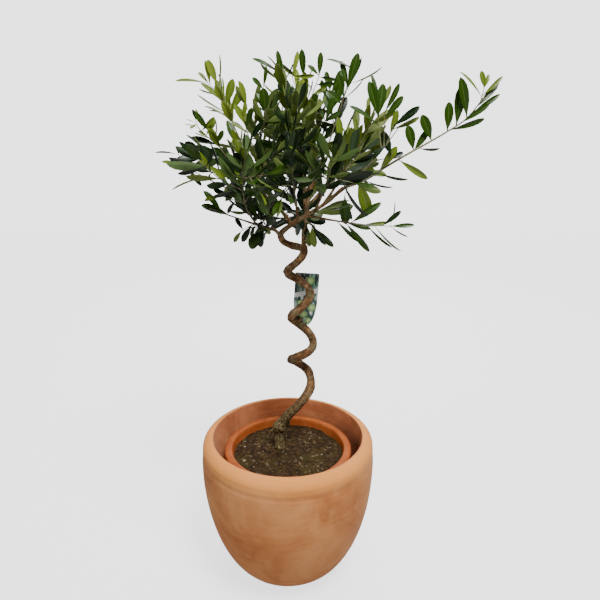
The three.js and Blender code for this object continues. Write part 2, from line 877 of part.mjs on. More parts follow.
function addLabel() {
  const knot = stemCurve.getPoint(label.tieBend / stemTurns);
  const ahead = stemCurve.getTangent(label.tieBend / stemTurns);
  const beside = ahead.clone().cross(new THREE.Vector3(0, 1, 0)).normalize();
  const radius = stemRadius(knot.z);
  const lowestTurn = stem.bends[4];
  const cardFront = stem.axisBack + lowestTurn.depth + stemRadius(lowestTurn.height) + clearance;
  const front = knot.y - radius - label.tieSlack - label.tieRadius;
  const back = cardFront + label.thickness + clearance + label.tieRadius;
  const centre = new THREE.Vector3(knot.x, (front + back) / 2, knot.z);
  const halfDeep = (back - front) / 2;
  const halfWide = radius + 2 * label.tieSlack + label.tieRadius;
  const steps = 20;
  const loop = Array.from({ length: steps }, (_, i) => {
    const angle = (2 * Math.PI * i) / steps;
    const point = centre.clone().addScaledVector(beside, halfWide * Math.cos(angle));
    point.y += halfDeep * Math.sin(angle);
    return point;
  });
  const tieRadii = loop.map(() => label.tieRadius);
  addMesh("label_tie", sweep(loop, tieRadii, 6, { ring: true }), colours.tie, 0.7);

  const through = (cardFront + label.thickness / 2 - centre.y) / halfDeep;
  const offset = halfWide * Math.sqrt(1 - through ** 2);
  const turn = radians(label.tilt);
  const holes = [-offset, offset].map((along) => {
    const x = knot.x + beside.x * along - label.centreAcross;
    const z = knot.z + beside.z * along - label.top;
    return new THREE.Vector2(x, z).rotateAround(new THREE.Vector2(), -turn);
  });
  const card = addMesh("label_card", labelCard(holes), colours.card, 0.6);
  card.position.set(label.centreAcross, cardFront, label.top);
  card.rotation.y = -turn;
}

addLabel();

export default group;
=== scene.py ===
# Looks for the potted olive tree: the pots, the potting mix, the corkscrew stem with its boughs,
# the crown grown by the same rule as the solids, and the plant label. Lengths are in metres.
import json
import math

import bmesh
import bpy
import numpy as np
from mathutils import Matrix, Vector, noise
from mathutils.bvhtree import BVHTree
from mathutils.kdtree import KDTree

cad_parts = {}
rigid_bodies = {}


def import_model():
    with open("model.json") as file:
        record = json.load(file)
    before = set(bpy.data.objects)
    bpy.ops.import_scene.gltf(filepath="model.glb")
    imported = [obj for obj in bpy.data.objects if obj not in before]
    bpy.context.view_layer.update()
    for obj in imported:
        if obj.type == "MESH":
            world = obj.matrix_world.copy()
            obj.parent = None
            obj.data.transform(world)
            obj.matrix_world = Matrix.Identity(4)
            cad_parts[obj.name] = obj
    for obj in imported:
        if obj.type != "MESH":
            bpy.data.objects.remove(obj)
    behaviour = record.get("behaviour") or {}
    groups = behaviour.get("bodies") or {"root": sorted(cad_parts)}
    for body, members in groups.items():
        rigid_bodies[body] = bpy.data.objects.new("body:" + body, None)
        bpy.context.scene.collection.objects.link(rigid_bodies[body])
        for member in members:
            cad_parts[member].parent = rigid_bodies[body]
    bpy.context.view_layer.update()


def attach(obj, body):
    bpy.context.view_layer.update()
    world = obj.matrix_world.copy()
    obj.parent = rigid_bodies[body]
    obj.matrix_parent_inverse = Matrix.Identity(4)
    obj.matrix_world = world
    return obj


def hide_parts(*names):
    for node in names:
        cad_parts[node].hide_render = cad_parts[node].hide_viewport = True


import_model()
mm = 0.001
clearance = 0.3 * mm
up = Vector((0, 0, 1))


# Helpers: seeded numbers, curves and meshes

def seededNumbers(seed):
    state = seed

    def draw():
        nonlocal state
        state = (state + 0x6D2B79F5) % 2**32
        mixed = ((state ^ (state >> 15)) * (state | 1)) % 2**32
        mixed ^= (mixed + (mixed ^ (mixed >> 7)) * (mixed | 61)) % 2**32
        return (mixed ^ (mixed >> 14)) / 2**32

    return draw


def stray(random):
    return Vector((random() - 0.5, random() - 0.5, random() - 0.5))


def mix(low, high, share):
    return low + (high - low) * share


def smooth(low, high, value):
    share = min(max((value - low) / (high - low), 0), 1)
    return share * share * (3 - 2 * share)


def lineOf(points):
    # A line with the distance to each of its points, for looking up places by distance
    distances = [0.0]
    for before, after in zip(points, points[1:]):
        distances.append(distances[-1] + (after - before).length)
    return {"points": points, "distances": distances, "length": distances[-1]}


def placeOn(line, distance):
    points, distances = line["points"], line["distances"]
    i = min(max(int(np.searchsorted(distances, distance)), 1), len(points) - 1)
    ahead = (points[i] - points[i - 1]).normalized()
    return points[i - 1] + ahead * (distance - distances[i - 1]), ahead


def partOf(line, low, high, gap):
    # Evenly spaced points between two shares of a line's length
    steps = max(2, round((high - low) * line["length"] / gap))
    return [placeOn(line, line["length"] * mix(low, high, i / steps))[0] for i in range(steps + 1)]


def taper(count, radii):
    first, last = radii
    return [mix(first, last, i / (count - 1)) * mm for i in range(count)]


def between(first, last, leave, arrive, u):
    # Cubic from one value to the next, with the slopes at which it leaves and arrives
    return (first * (2 * u**3 - 3 * u**2 + 1) + leave * (u**3 - 2 * u**2 + u)
            + last * (3 * u**2 - 2 * u**3) + arrive * (u**3 - u**2))


def throughPoints(way, stepsEach=24):
    # Centripetal curve through its points
    ends = [way[0] * 2 - way[1], *way, way[-1] * 2 - way[-2]]
    points = []
    for i in range(1, len(way)):
        a, b, c, d = ends[i - 1:i + 3]
        gaps = [math.sqrt((q - p).length) for p, q in ((a, b), (b, c), (c, d))]
        leave = ((b - a) / gaps[0] - (c - a) / (gaps[0] + gaps[1]) + (c - b) / gaps[1]) * gaps[1]
        arrive = ((c - b) / gaps[1] - (d - b) / (gaps[1] + gaps[2]) + (d - c) / gaps[2]) * gaps[1]
        points += [between(b, c, leave, arrive, step / stepsEach) for step in range(stepsEach)]
    return lineOf([*points, way[-1].copy()])


def bentLine(start, bend, end, steps=48):
    shares = [i / steps for i in range(steps + 1)]
    return lineOf([start * (1 - u)**2 + bend * (2 * u * (1 - u)) + end * u**2 for u in shares])


def linked(name, mesh, *materials):
    piece = bpy.data.objects.new(name, mesh)
    bpy.context.collection.objects.link(piece)
    for material in materials:
        mesh.materials.append(material)
    return piece


def smoothed(name, mesh, sharpAngle, *materials):
    mesh.shade_smooth()
    mesh.set_sharp_from_angle(angle=math.radians(sharpAngle))
    return linked(name, mesh, *materials)


def finished(bm, name, *materials, sharpAngle=50):
    mesh = bpy.data.meshes.new(name)
    bm.to_mesh(mesh)
    bm.free()
    return smoothed(name, mesh, sharpAngle, *materials)


def giveAttribute(mesh, name, values):
    attribute = mesh.attributes.new(name, "FLOAT_VECTOR", "POINT")
    attribute.data.foreach_set("vector", values.ravel())


def treeOf(points):
    tree = KDTree(len(points))
    for i, point in enumerate(points):
        tree.insert(point, i)
    tree.balance()
    return tree


def spunProfile(profile, steps):
    # A closed turned shape from points of radius and height, the first and last on the axis
    bm = bmesh.new()
    corners = [bm.verts.new((radius, 0, height)) for radius, height in profile]
    edges = [bm.edges.new(pair) for pair in zip(corners, corners[1:])]
    bmesh.ops.spin(
        bm, geom=corners + edges, cent=(0, 0, 0), axis=(0, 0, 1), angle=2 * math.pi,
        steps=steps, use_merge=True)
    bmesh.ops.remove_doubles(bm, verts=bm.verts, dist=1e-6)
    bmesh.ops.recalc_face_normals(bm, faces=bm.faces)
    return bm


def roundedProfile(points, radius, steps=5):
    # Corners turned into short arcs, so that no edge of a moulded or thrown wall is sharp
    rounded = [points[0]]
    for before, corner, after in zip(points, points[1:], points[2:]):
        back = Vector(before) - Vector(corner)
        ahead = Vector(after) - Vector(corner)
        reach = min(radius, 0.45 * back.length, 0.45 * ahead.length)
        first = Vector(corner) + back.normalized() * reach
        last = Vector(corner) + ahead.normalized() * reach
        rounded += [tuple(point) for point in bentLine(first, Vector(corner), last, steps)["points"]]
    rounded.append(points[-1])
    return rounded


def tubesMesh(name, tubes, sides, material):
    # Tapered tubes from one curve object: each tube is its points and its radii
    data = bpy.data.curves.new(name, "CURVE")
    data.dimensions = "3D"
    data.bevel_depth = 1
    data.bevel_resolution = max(0, sides // 2 - 2)
    data.use_fill_caps = True
    data.resolution_u = 1
    for points, radii in tubes:
        spline = data.splines.new("POLY")
        spline.points.add(len(points) - 1)
        for knot, point, radius in zip(spline.points, points, radii):
            knot.co = (*point, 1)
            knot.radius = radius
    curve = bpy.data.objects.new(name + "_curve", data)
    bpy.context.collection.objects.link(curve)
    shape = curve.evaluated_get(bpy.context.evaluated_depsgraph_get())
    mesh = bpy.data.meshes.new_from_object(shape)
    bpy.data.objects.remove(curve)
    bpy.data.curves.remove(data)
    bm = bmesh.new()
    bm.from_mesh(mesh)
    bmesh.ops.remove_doubles(bm, verts=bm.verts, dist=1e-6)
    bmesh.ops.recalc_face_normals(bm, faces=bm.faces)
    bm.to_mesh(mesh)
    bm.free()
    mesh.name = name
    mesh.materials.clear()
    return smoothed(name, mesh, 60, material)


# Materials: a small kit of node calls, then one function for each finish

def material(name, color, roughness, specular=0.5):
    made = bpy.data.materials.new(name)
    made.use_nodes = True
    shader = made.node_tree.nodes["Principled BSDF"]
    shader.inputs["Base Color"].default_value = (*color, 1)
    shader.inputs["Roughness"].default_value = roughness
    shader.inputs["Specular IOR Level"].default_value = specular
    return made, made.node_tree, shader


def place(tree, scale=(1, 1, 1), attribute=None):
    # Object coordinates, or a named attribute of the piece, stretched by a scale
    if attribute:
        source = tree.nodes.new("ShaderNodeAttribute")
        source.attribute_name = attribute
        output = source.outputs["Vector"]
    else:
        output = tree.nodes.new("ShaderNodeTexCoord").outputs["Object"]
    mapping = tree.nodes.new("ShaderNodeMapping")
    mapping.inputs["Scale"].default_value = scale
    tree.links.new(output, mapping.inputs["Vector"])
    return mapping.outputs["Vector"]


def noiseOf(tree, vector, scale, detail=4, roughness=0.55, distortion=0):
    node = tree.nodes.new("ShaderNodeTexNoise")
    node.inputs["Scale"].default_value = scale
    node.inputs["Detail"].default_value = detail
    node.inputs["Roughness"].default_value = roughness
    node.inputs["Distortion"].default_value = distortion
    tree.links.new(vector, node.inputs["Vector"])
    return node.outputs["Fac"]


def cellsOf(tree, vector, scale):
    node = tree.nodes.new("ShaderNodeTexVoronoi")
    node.inputs["Scale"].default_value = scale
    tree.links.new(vector, node.inputs["Vector"])
    return node


def ramp(tree, value, *stops):
    # Stops are pairs of a place from 0 to 1 and a colour or a grey value
    node = tree.nodes.new("ShaderNodeValToRGB")
    elements = node.color_ramp.elements
    while len(elements) < len(stops):
        elements.new(0.5)
    for element, (position, color) in zip(elements, stops):
        element.position = position
        grey = isinstance(color, (int, float))
        element.color = (color, color, color, 1) if grey else (*color, 1)
    tree.links.new(value, node.inputs["Fac"])
    return node.outputs["Color"]


def axisOf(tree, vector, axis):
    node = tree.nodes.new("ShaderNodeSeparateXYZ")
    tree.links.new(vector, node.inputs[0])
    return node.outputs[axis]


def maths(tree, operation, first, second):
    node = tree.nodes.new("ShaderNodeMath")
    node.operation = operation
    for socket, value in zip(node.inputs, (first, second)):
        if isinstance(value, (int, float)):
            socket.default_value = value
        else:
            tree.links.new(value, socket)
    return node.outputs[0]


def blended(tree, share, first, second, mode="MIX"):
    node = tree.nodes.new("ShaderNodeMix")
    node.data_type = "RGBA"
    node.blend_type = mode
    for socket, value in ((node.inputs[0], share), (node.inputs[6], first), (node.inputs[7], second)):
        if isinstance(value, (int, float)):
            socket.default_value = value
        elif isinstance(value, tuple):
            socket.default_value = (*value, 1)
        else:
            tree.links.new(value, socket)
    return node.outputs[2]


def bump(tree, shader, height, strength, distance):
    node = tree.nodes.new("ShaderNodeBump")
    node.inputs["Strength"].default_value = strength
    node.inputs["Distance"].default_value = distance
    tree.links.new(height, node.inputs["Height"])
    tree.links.new(node.outputs["Normal"], shader.inputs["Normal"])


def terracottaMaterial(name, pale, warm, brown, salts, lipLightShare):
    made, tree, shader = material(name, warm, 0.88, 0.12)
    shader.inputs["Sheen Weight"].default_value = 0.14
    shader.inputs["Sheen Roughness"].default_value = 0.45
    shader.inputs["Sheen Tint"].default_value = (1, 0.8, 0.6, 1)
    vector = place(tree)
    clouds = noiseOf(tree, vector, 8, 7, 0.62, 0.9)
    base = ramp(tree, clouds, (0.36, brown), (0.5, warm), (0.66, pale))
    streaks = noiseOf(tree, place(tree, (3, 3, 30)), 5, 5, 0.6)
    base = blended(tree, ramp(tree, streaks, (0.45, 0), (0.75, 0.35)), base, pale)
    bloom = noiseOf(tree, vector, 34, 8, 0.7)
    base = blended(tree, ramp(tree, bloom, (0.55, 0), (0.78, 0.4)), base, salts)
    rise = axisOf(tree, vector, "Z")
    # Painted light: the band at the lip is painted brighter and warmer, as if lit from above
    lip = ramp(tree, maths(tree, "MULTIPLY", rise, 3), (0.775, 0), (0.83, lipLightShare))
    base = blended(tree, lip, base, (1.0, 0.39, 0.09))
    # Painted shade: the wall is painted darker towards the bottom, as if shaded from the light above
    lower = ramp(tree, maths(tree, "MULTIPLY", rise, 3), (0.1, 0.4), (0.6, 0))
    base = blended(tree, lower, base, (0.4, 0.14, 0.045))
    pits = cellsOf(tree, vector, 95).outputs["Distance"]
    rare = ramp(tree, noiseOf(tree, vector, 21, 2), (0.6, 0), (0.66, 1))
    dots = blended(tree, ramp(tree, pits, (0.05, 1), (0.12, 0)), (0.0, 0.0, 0.0), rare)
    base = blended(tree, maths(tree, "MULTIPLY", dots, 0.75), base, (0.16, 0.07, 0.035))
    tree.links.new(base, shader.inputs["Base Color"])
    grain = noiseOf(tree, vector, 420, 6, 0.7)
    ridges = noiseOf(tree, place(tree, (1.2, 1.2, 60)), 4, 3, 0.5)
    height = maths(tree, "ADD", maths(tree, "MULTIPLY", grain, 0.35), maths(tree, "MULTIPLY", ridges, 0.65))
    height = maths(tree, "SUBTRACT", height, maths(tree, "MULTIPLY", dots, 0.6))
    bump(tree, shader, height, 0.5, 0.0009)
    return made


def plasticMaterial():
    made, tree, shader = material("nurseryPlastic", (0.42, 0.1, 0.022), 0.55, 0.2)
    vector = place(tree)
    worn = noiseOf(tree, vector, 26, 5, 0.6)
    base = ramp(tree, worn, (0.35, (0.34, 0.072, 0.014)), (0.7, (0.5, 0.13, 0.028)))
    dust = noiseOf(tree, vector, 160, 6, 0.7)
    base = blended(tree, ramp(tree, dust, (0.56, 0), (0.74, 0.3)), base, (0.32, 0.17, 0.08))
    tree.links.new(base, shader.inputs["Base Color"])
    tree.links.new(ramp(tree, dust, (0.4, 0.5), (0.7, 0.68)), shader.inputs["Roughness"])
    bump(tree, shader, noiseOf(tree, vector, 700, 3), 0.15, 0.0003)
    return made


def soilMaterial():
    made, tree, shader = material("pottingMix", (0.06, 0.04, 0.025), 0.95, 0.2)
    vector = place(tree)
    crumbs = noiseOf(tree, vector, 130, 8, 0.75)
    base = ramp(
        tree, crumbs, (0.34, (0.004, 0.002, 0.001)), (0.5, (0.033, 0.017, 0.0055)),
        (0.66, (0.1, 0.054, 0.018)))
    moss = noiseOf(tree, vector, 22, 5, 0.6)
    base = blended(tree, ramp(tree, moss, (0.5, 0), (0.68, 0.6)), base, (0.06, 0.048, 0.01))
    specks = cellsOf(tree, vector, 300)
    chosen = ramp(tree, specks.outputs["Color"], (0.9, 0), (0.92, 1))
    base = blended(tree, maths(tree, "MULTIPLY", chosen, 0.55), base, (0.2, 0.13, 0.06))
    tree.links.new(base, shader.inputs["Base Color"])
    bump(tree, shader, crumbs, 0.9, 0.002)
    return made


def chipMaterial(name, color):
    made, tree, shader = material(name, color, 0.85, 0.25)
    grain = noiseOf(tree, place(tree), 260, 5, 0.6)
    dark = tuple(0.55 * part for part in color)
    tree.links.new(ramp(tree, grain, (0.3, dark), (0.65, color)), shader.inputs["Base Color"])
    bump(tree, shader, grain, 0.4, 0.0006)
    return made


def barkMaterial():
    # Reads barkPlace: round the limb and along it, so that the pattern follows every bend
    made, tree, shader = material("oliveBark", (0.16, 0.1, 0.05), 0.8, 0.2)
    vector = place(tree)
    follows = place(tree, (1, 1, 0.4), "barkPlace")
    patches = noiseOf(tree, follows, 95, 7, 0.68, 0.5)
    base = ramp(
        tree, patches, (0.33, (0.022, 0.009, 0.004)), (0.46, (0.11, 0.05, 0.018)),
        (0.55, (0.2, 0.1, 0.04)), (0.66, (0.42, 0.27, 0.14)))
    scurf = noiseOf(tree, vector, 46, 5, 0.65)
    base = blended(tree, ramp(tree, scurf, (0.5, 0), (0.6, 0.65)), base, (0.17, 0.145, 0.07))
    rise = axisOf(tree, vector, "Z")
    speckle = noiseOf(tree, vector, 420, 3, 0.6)
    foot = ramp(tree, rise, (0.3, 1), (0.4, 0))
    old = ramp(
        tree, speckle, (0.4, (0.028, 0.018, 0.006)), (0.52, (0.115, 0.085, 0.03)), (0.64, (0.36, 0.29, 0.15)))
    base = blended(tree, foot, base, old)
    lengthwise = axisOf(tree, place(tree, (1, 1, 1), "barkPlace"), "Z")
    wander = maths(tree, "MULTIPLY", noiseOf(tree, vector, 60, 3), 0.02)
    step = maths(tree, "MULTIPLY", maths(tree, "ADD", lengthwise, wander), 34)
    ring = ramp(tree, maths(tree, "FRACT", step, 0), (0.0, 0.7), (0.07, 0))
    base = blended(tree, ring, base, (0.26, 0.2, 0.11))
    pores = cellsOf(tree, place(tree, (1, 1, 0.7), "barkPlace"), 330)
    dots = ramp(tree, pores.outputs["Distance"], (0.1, 1), (0.24, 0))
    chosen = ramp(tree, pores.outputs["Color"], (0.66, 0), (0.69, 1))
    marks = blended(tree, dots, (0.0, 0.0, 0.0), chosen)
    base = blended(tree, maths(tree, "MULTIPLY", marks, 0.7), base, (0.42, 0.33, 0.19))
    tree.links.new(base, shader.inputs["Base Color"])
    grain = noiseOf(tree, follows, 600, 6, 0.7)
    height = maths(tree, "ADD", maths(tree, "MULTIPLY", grain, 0.5), maths(tree, "MULTIPLY", patches, 0.8))
    height = maths(tree, "ADD", height, maths(tree, "MULTIPLY", ring, 0.4))
    bump(tree, shader, maths(tree, "ADD", height, maths(tree, "MULTIPLY", marks, 0.5)), 0.7, 0.001)
    return made


def leafMaterial(name, color, roughness, veinStrength):
    made, tree, shader = material(name, color, roughness, 0.3)
    vector = place(tree)
    waxy = noiseOf(tree, vector, 170, 4, 0.6)
    low, high = 0.85 * roughness, min(1, 1.25 * roughness)
    tree.links.new(ramp(tree, waxy, (0.35, low), (0.65, high)), shader.inputs["Roughness"])
    bump(tree, shader, noiseOf(tree, vector, 900, 3, 0.6), veinStrength, 0.0002)
    return made


def twigMaterial():
    made, tree, shader = material("youngWood", (0.2, 0.2, 0.1), 0.6, 0.35)
    patches = noiseOf(tree, place(tree), 120, 4, 0.6)
    base = ramp(tree, patches, (0.35, (0.13, 0.1, 0.05)), (0.55, (0.21, 0.2, 0.1)), (0.75, (0.32, 0.31, 0.2)))
    tree.links.new(base, shader.inputs["Base Color"])
    bump(tree, shader, patches, 0.3, 0.0004)
    return made


# Camera, light and floor

camera = {
    "place": (0.023, -1.011, 0.888),
    "below": 18.1,  # degrees that it looks below the level
    "lens": 36,
    "film": 36,
    "nearest": 0.05,
}
lights = [
    {"name": "key", "place": (0.6, -1.15, 2.7), "size": 0.9, "power": 92},
    {"name": "top", "place": (0.0, 0.2, 2.6), "size": 1.5, "power": 22},
    {"name": "fill", "place": (-1.7, -1.3, 1.0), "size": 1.6, "power": 6},
    {"name": "rim", "place": (0.2, 1.7, 1.5), "size": 1.6, "power": 19},
]
studio = {
    "aim": (0.03, 0, 0.55),  # where the lights point
    "floorReach": 14,
    "floorColor": (0.62, 0.62, 0.62),
    "floorGlow": (1.9, 2.8),  # near the object and at the far edge
    "glowFrom": -0.1,
    "glowTo": 4,
    "sky": (0.93, 0.94, 0.95),
    "skyStrength": 0.11,
    "backdrop": 2.9,
}


def seenDirectly(tree):
    # 1 where the eye meets the studio itself, 0 where it only lights the object
    return tree.nodes.new("ShaderNodeLightPath").outputs["Is Camera Ray"]


def makeStudio():
    data = bpy.data.cameras.new("camera")
    data.lens = camera["lens"]
    data.sensor_width = camera["film"]
    data.clip_start = camera["nearest"]
    eye = bpy.data.objects.new("camera", data)
    eye.location = camera["place"]
    eye.rotation_euler = (math.radians(90 - camera["below"]), 0, 0)
    bpy.context.collection.objects.link(eye)
    bpy.context.scene.camera = eye
    for light in lights:
        lamp = bpy.data.lights.new(light["name"], "AREA")
        lamp.size = light["size"]
        lamp.energy = light["power"]
        stand = bpy.data.objects.new(light["name"], lamp)
        stand.location = light["place"]
        aim = Vector(studio["aim"]) - stand.location
        stand.rotation_euler = aim.to_track_quat("-Z", "Y").to_euler()
        bpy.context.collection.objects.link(stand)
    world = bpy.data.worlds.new("studio")
    world.use_nodes = True
    sky = world.node_tree.nodes["Background"]
    sky.inputs["Color"].default_value = (*studio["sky"], 1)
    lift = maths(world.node_tree, "MULTIPLY", seenDirectly(world.node_tree), studio["backdrop"])
    strength = maths(world.node_tree, "ADD", lift, studio["skyStrength"])
    world.node_tree.links.new(strength, sky.inputs["Strength"])
    bpy.context.scene.world = world
    bm = bmesh.new()
    bmesh.ops.create_grid(bm, x_segments=1, y_segments=1, size=studio["floorReach"])
    paper, tree, shader = material("floorPaper", studio["floorColor"], 0.9, 0.1)
    shader.inputs["Emission Color"].default_value = (1, 1, 1, 1)
    depth = tree.nodes.new("ShaderNodeMapRange")
    tree.links.new(axisOf(tree, place(tree), "Y"), depth.inputs["Value"])
    depth.inputs["From Min"].default_value = studio["glowFrom"]
    depth.inputs["From Max"].default_value = studio["glowTo"]
    depth.inputs["To Min"].default_value, depth.inputs["To Max"].default_value = studio["floorGlow"]
    glow = maths(tree, "MULTIPLY", seenDirectly(tree), depth.outputs["Result"])
    tree.links.new(glow, shader.inputs["Emission Strength"])
    finished(bm, "floor", paper)


makeStudio()
print("studio ready")


# Terracotta pot: thrown body, rolled lip, inner wall and floor

terracotta = {
    "height": 290 * mm,
    "footRadius": 58 * mm,
    "bodyRadius": 164 * mm,
    "shoulderHeight": 238 * mm,
    "creaseRadius": 162 * mm,
    "creaseHeight": 272 * mm,
    "creaseDepth": 1.1 * mm,
    "creasePlace": (0.55, 0.16),  # its middle and spread, as shares of the band under the lip
    "mouthRadius": 141.5 * mm,
    "floorHeight": 28 * mm,
    "floorRadius": 78 * mm,
    "rows": {"body": 26, "band": 8, "lip": 12, "inner": 20},
    "steps": 160,
    "rounding": 2.5 * mm,
    "wobble": (0.5 * mm, 9),  # height and noise scale
    "throwing": (0.22 * mm, 6, 170),  # height, and noise scales across and up
    "standing": 2 * mm,  # up to here the foot stays flat
    "insideMargin": 1.5 * mm,
}


def bowlRadius(height, foot, footRadius, shoulder, shoulderRadius):
    share = min((height - foot) / (shoulder - foot), 1)
    return footRadius + (shoulderRadius - footRadius) * math.sqrt(1 - (1 - share)**2)


def terracottaProfile():
    pot, rows = terracotta, terracotta["rows"]
    points = [(0, 0)]
    for i in range(rows["body"] + 1):
        height = pot["shoulderHeight"] * (1 - math.cos(math.pi / 2 * i / rows["body"]))
        radius = bowlRadius(height, 0, pot["footRadius"], pot["shoulderHeight"], pot["bodyRadius"])
        points.append((radius, height))
    middle, spread = pot["creasePlace"]
    for i in range(1, rows["band"] + 1):
        share = i / rows["band"]
        height = mix(pot["shoulderHeight"], pot["creaseHeight"], share)
        dip = pot["creaseDepth"] * math.exp(-((share - middle) / spread)**2)
        points.append((mix(pot["bodyRadius"], pot["creaseRadius"], share**2) - dip, height))
    for i in range(rows["lip"] - 1, -1, -1):
        angle = math.pi / 2 * i / rows["lip"]
        out = pot["mouthRadius"] + (pot["creaseRadius"] - pot["mouthRadius"]) * math.sin(angle)
        points.append((out, pot["creaseHeight"] + (pot["height"] - pot["creaseHeight"]) * math.cos(angle)))
    for i in range(rows["inner"], -1, -1):
        rise = 1 - math.cos(math.pi / 2 * i / rows["inner"])
        height = pot["floorHeight"] + (pot["shoulderHeight"] - pot["floorHeight"]) * rise
        radius = bowlRadius(
            height, pot["floorHeight"], pot["floorRadius"], pot["shoulderHeight"], pot["mouthRadius"])
        points.append((radius, height))
    points.append((0, pot["floorHeight"]))
    return roundedProfile(points, pot["rounding"], 2)


def makeTerracotta():
    pot = terracotta
    bm = spunProfile(terracottaProfile(), pot["steps"])
    wobble, softScale = pot["wobble"]
    throwing, aroundScale, upScale = pot["throwing"]
    for vert in bm.verts:
        radius = math.hypot(vert.co.x, vert.co.y)
        if radius < 1e-4 or vert.co.z < pot["standing"]:
            continue
        soft = noise.noise(vert.co * softScale + Vector((3, 1, 7)))
        rings = noise.noise(
            Vector((vert.co.x * aroundScale, vert.co.y * aroundScale, vert.co.z * upScale)))
        outwards = Vector((vert.co.x, vert.co.y, 0)) / radius
        vert.co += outwards * (wobble * (soft - 0.5) + throwing * (rings - 0.5))
    lipInside = pot["mouthRadius"] + pot["insideMargin"]
    bm.normal_update()
    for face in bm.faces:
        centre = face.calc_center_median()
        radius = math.hypot(centre.x, centre.y)
        facesOut = face.normal.x * centre.x + face.normal.y * centre.y > 0.2 * radius
        isInside = radius < lipInside and centre.z > pot["floorHeight"] - 1 * mm and not facesOut
        face.material_index = 1 if isInside else 0
    outside = terracottaMaterial(
        "terracotta", pale=(0.7, 0.3, 0.11), warm=(0.57, 0.21, 0.066), brown=(0.42, 0.135, 0.036),
        salts=(0.8, 0.42, 0.19), lipLightShare=0.72)
    inside = terracottaMaterial(
        "terracottaInside", pale=(0.74, 0.29, 0.125), warm=(0.57, 0.195, 0.078),
        brown=(0.4, 0.125, 0.046), salts=(0.74, 0.36, 0.19), lipLightShare=0)
    piece = finished(bm, "terracotta_body", outside, inside, sharpAngle=70)
    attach(piece, "root")
    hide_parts("terracotta_pot")


makeTerracotta()
print("terracotta pot ready")


# Nursery pot: thin wall with a rolled lip, standing on the terracotta pot's floor

nursery = {
    "top": 263.3 * mm,
    "baseRadius": 74 * mm,
    "mouthRadius": 108.8 * mm,
    "lipRadius": 120.8 * mm,
    "lipDrop": 3 * mm,
    "lipDepth": 11 * mm,
    "wall": 2.2 * mm,
    "bevel": 3 * mm,
    "rounding": 2 * mm,
    "steps": 128,
}
nurseryFloor = terracotta["floorHeight"] + clearance + nursery["wall"]


def nurseryInside(height):
    pot = nursery
    base = pot["baseRadius"] - pot["wall"]
    return mix(base, pot["mouthRadius"] - pot["wall"], (height - nurseryFloor) / (pot["top"] - nurseryFloor))


def makeNursery():
    pot = nursery
    foot = nurseryFloor - pot["wall"]
    under = pot["top"] - pot["lipDrop"] - pot["wall"]
    profile = [
        (0, foot),
        (pot["baseRadius"] - pot["bevel"], foot),
        (pot["baseRadius"], foot + pot["bevel"]),
        (pot["mouthRadius"] - 1 * mm, under),
        (pot["lipRadius"] - pot["wall"], under),
        (pot["lipRadius"] - pot["wall"], pot["top"] - pot["lipDepth"]),
        (pot["lipRadius"], pot["top"] - pot["lipDepth"]),
        (pot["lipRadius"], pot["top"] - pot["lipDrop"]),
        (pot["lipRadius"] - 3 * mm, pot["top"] - 1 * mm),
        (pot["mouthRadius"] + 2 * mm, pot["top"]),
        (pot["mouthRadius"] - 1.5 * mm, pot["top"] - 1 * mm),
        (nurseryInside(under), under),
        (nurseryInside(nurseryFloor), nurseryFloor),
        (0, nurseryFloor),
    ]
    bm = spunProfile(roundedProfile(profile, pot["rounding"], 4), pot["steps"])
    piece = finished(bm, "nursery_shell", plasticMaterial(), sharpAngle=60)
    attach(piece, "root")
    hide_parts("nursery_pot")


makeNursery()
print("nursery pot ready")


# Potting mix: a lumpy surface with bark chips and pale crumbs on it

soil = {
    "top": 250 * mm,
    "rings": 64,
    "steps": 144,
    "lumps": [(24, 3.2 * mm), (70, 1.8 * mm), (190, 0.8 * mm)],  # noise scale and height
    "rimDip": 2.5 * mm,
    "mound": (2 * mm, 22 * mm),  # height and spread of the rise round the stem
    "sink": 0.8 * mm,
    "highest": 2.6 * mm,
}
chip = {
    "count": 620,
    "lengths": (1.8 * mm, 12 * mm),
    "fewLong": 2.3,  # the power that keeps most of them short
    "kinds": (0.5, 0.97),  # shares up to which they are bark and straw, the rest pale crumbs
    "slim": (0.16, 0.24),  # least width for its length, and how much wider it may be
    "round": (0.75, 0.25),
    "flat": 0.45,
    "sway": 0.5,
    "lift": 0.1,
    "rough": 0.22,
    "rimGap": 6 * mm,
    "seed": 500,
}


def soilLift(x, y):
    lift = 0
    for i, (scale, height) in enumerate(soil["lumps"]):
        lift += height * noise.noise(Vector((x * scale, y * scale, 5.3 * i)))
    reach = nurseryInside(soil["top"]) - clearance
    radius = math.hypot(x, y)
    stemFoot = Vector((stem["bends"][0][0] * mm, stem["footBack"]))
    mound, spread = soil["mound"]
    mound *= math.exp(-((Vector((x, y)) - stemFoot).length / spread)**2)
    lift += mound - soil["sink"] - soil["rimDip"] * smooth(0.8 * reach, reach, radius)
    return min(lift, soil["highest"])


def makeSoil():
    foot = nurseryFloor + clearance
    reach = nurseryInside(soil["top"]) - clearance
    profile = [(0, foot), (nurseryInside(foot) - clearance, foot)]
    profile += [(reach * (1 - i / soil["rings"]), soil["top"]) for i in range(soil["rings"] + 1)]
    bm = spunProfile(profile, soil["steps"])
    for vert in bm.verts:
        if vert.co.z > soil["top"] - 1 * mm:
            vert.co.z += soilLift(vert.co.x, vert.co.y)
    piece = finished(bm, "potting_mix", soilMaterial(), sharpAngle=80)
    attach(piece, "root")
    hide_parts("potting_soil")


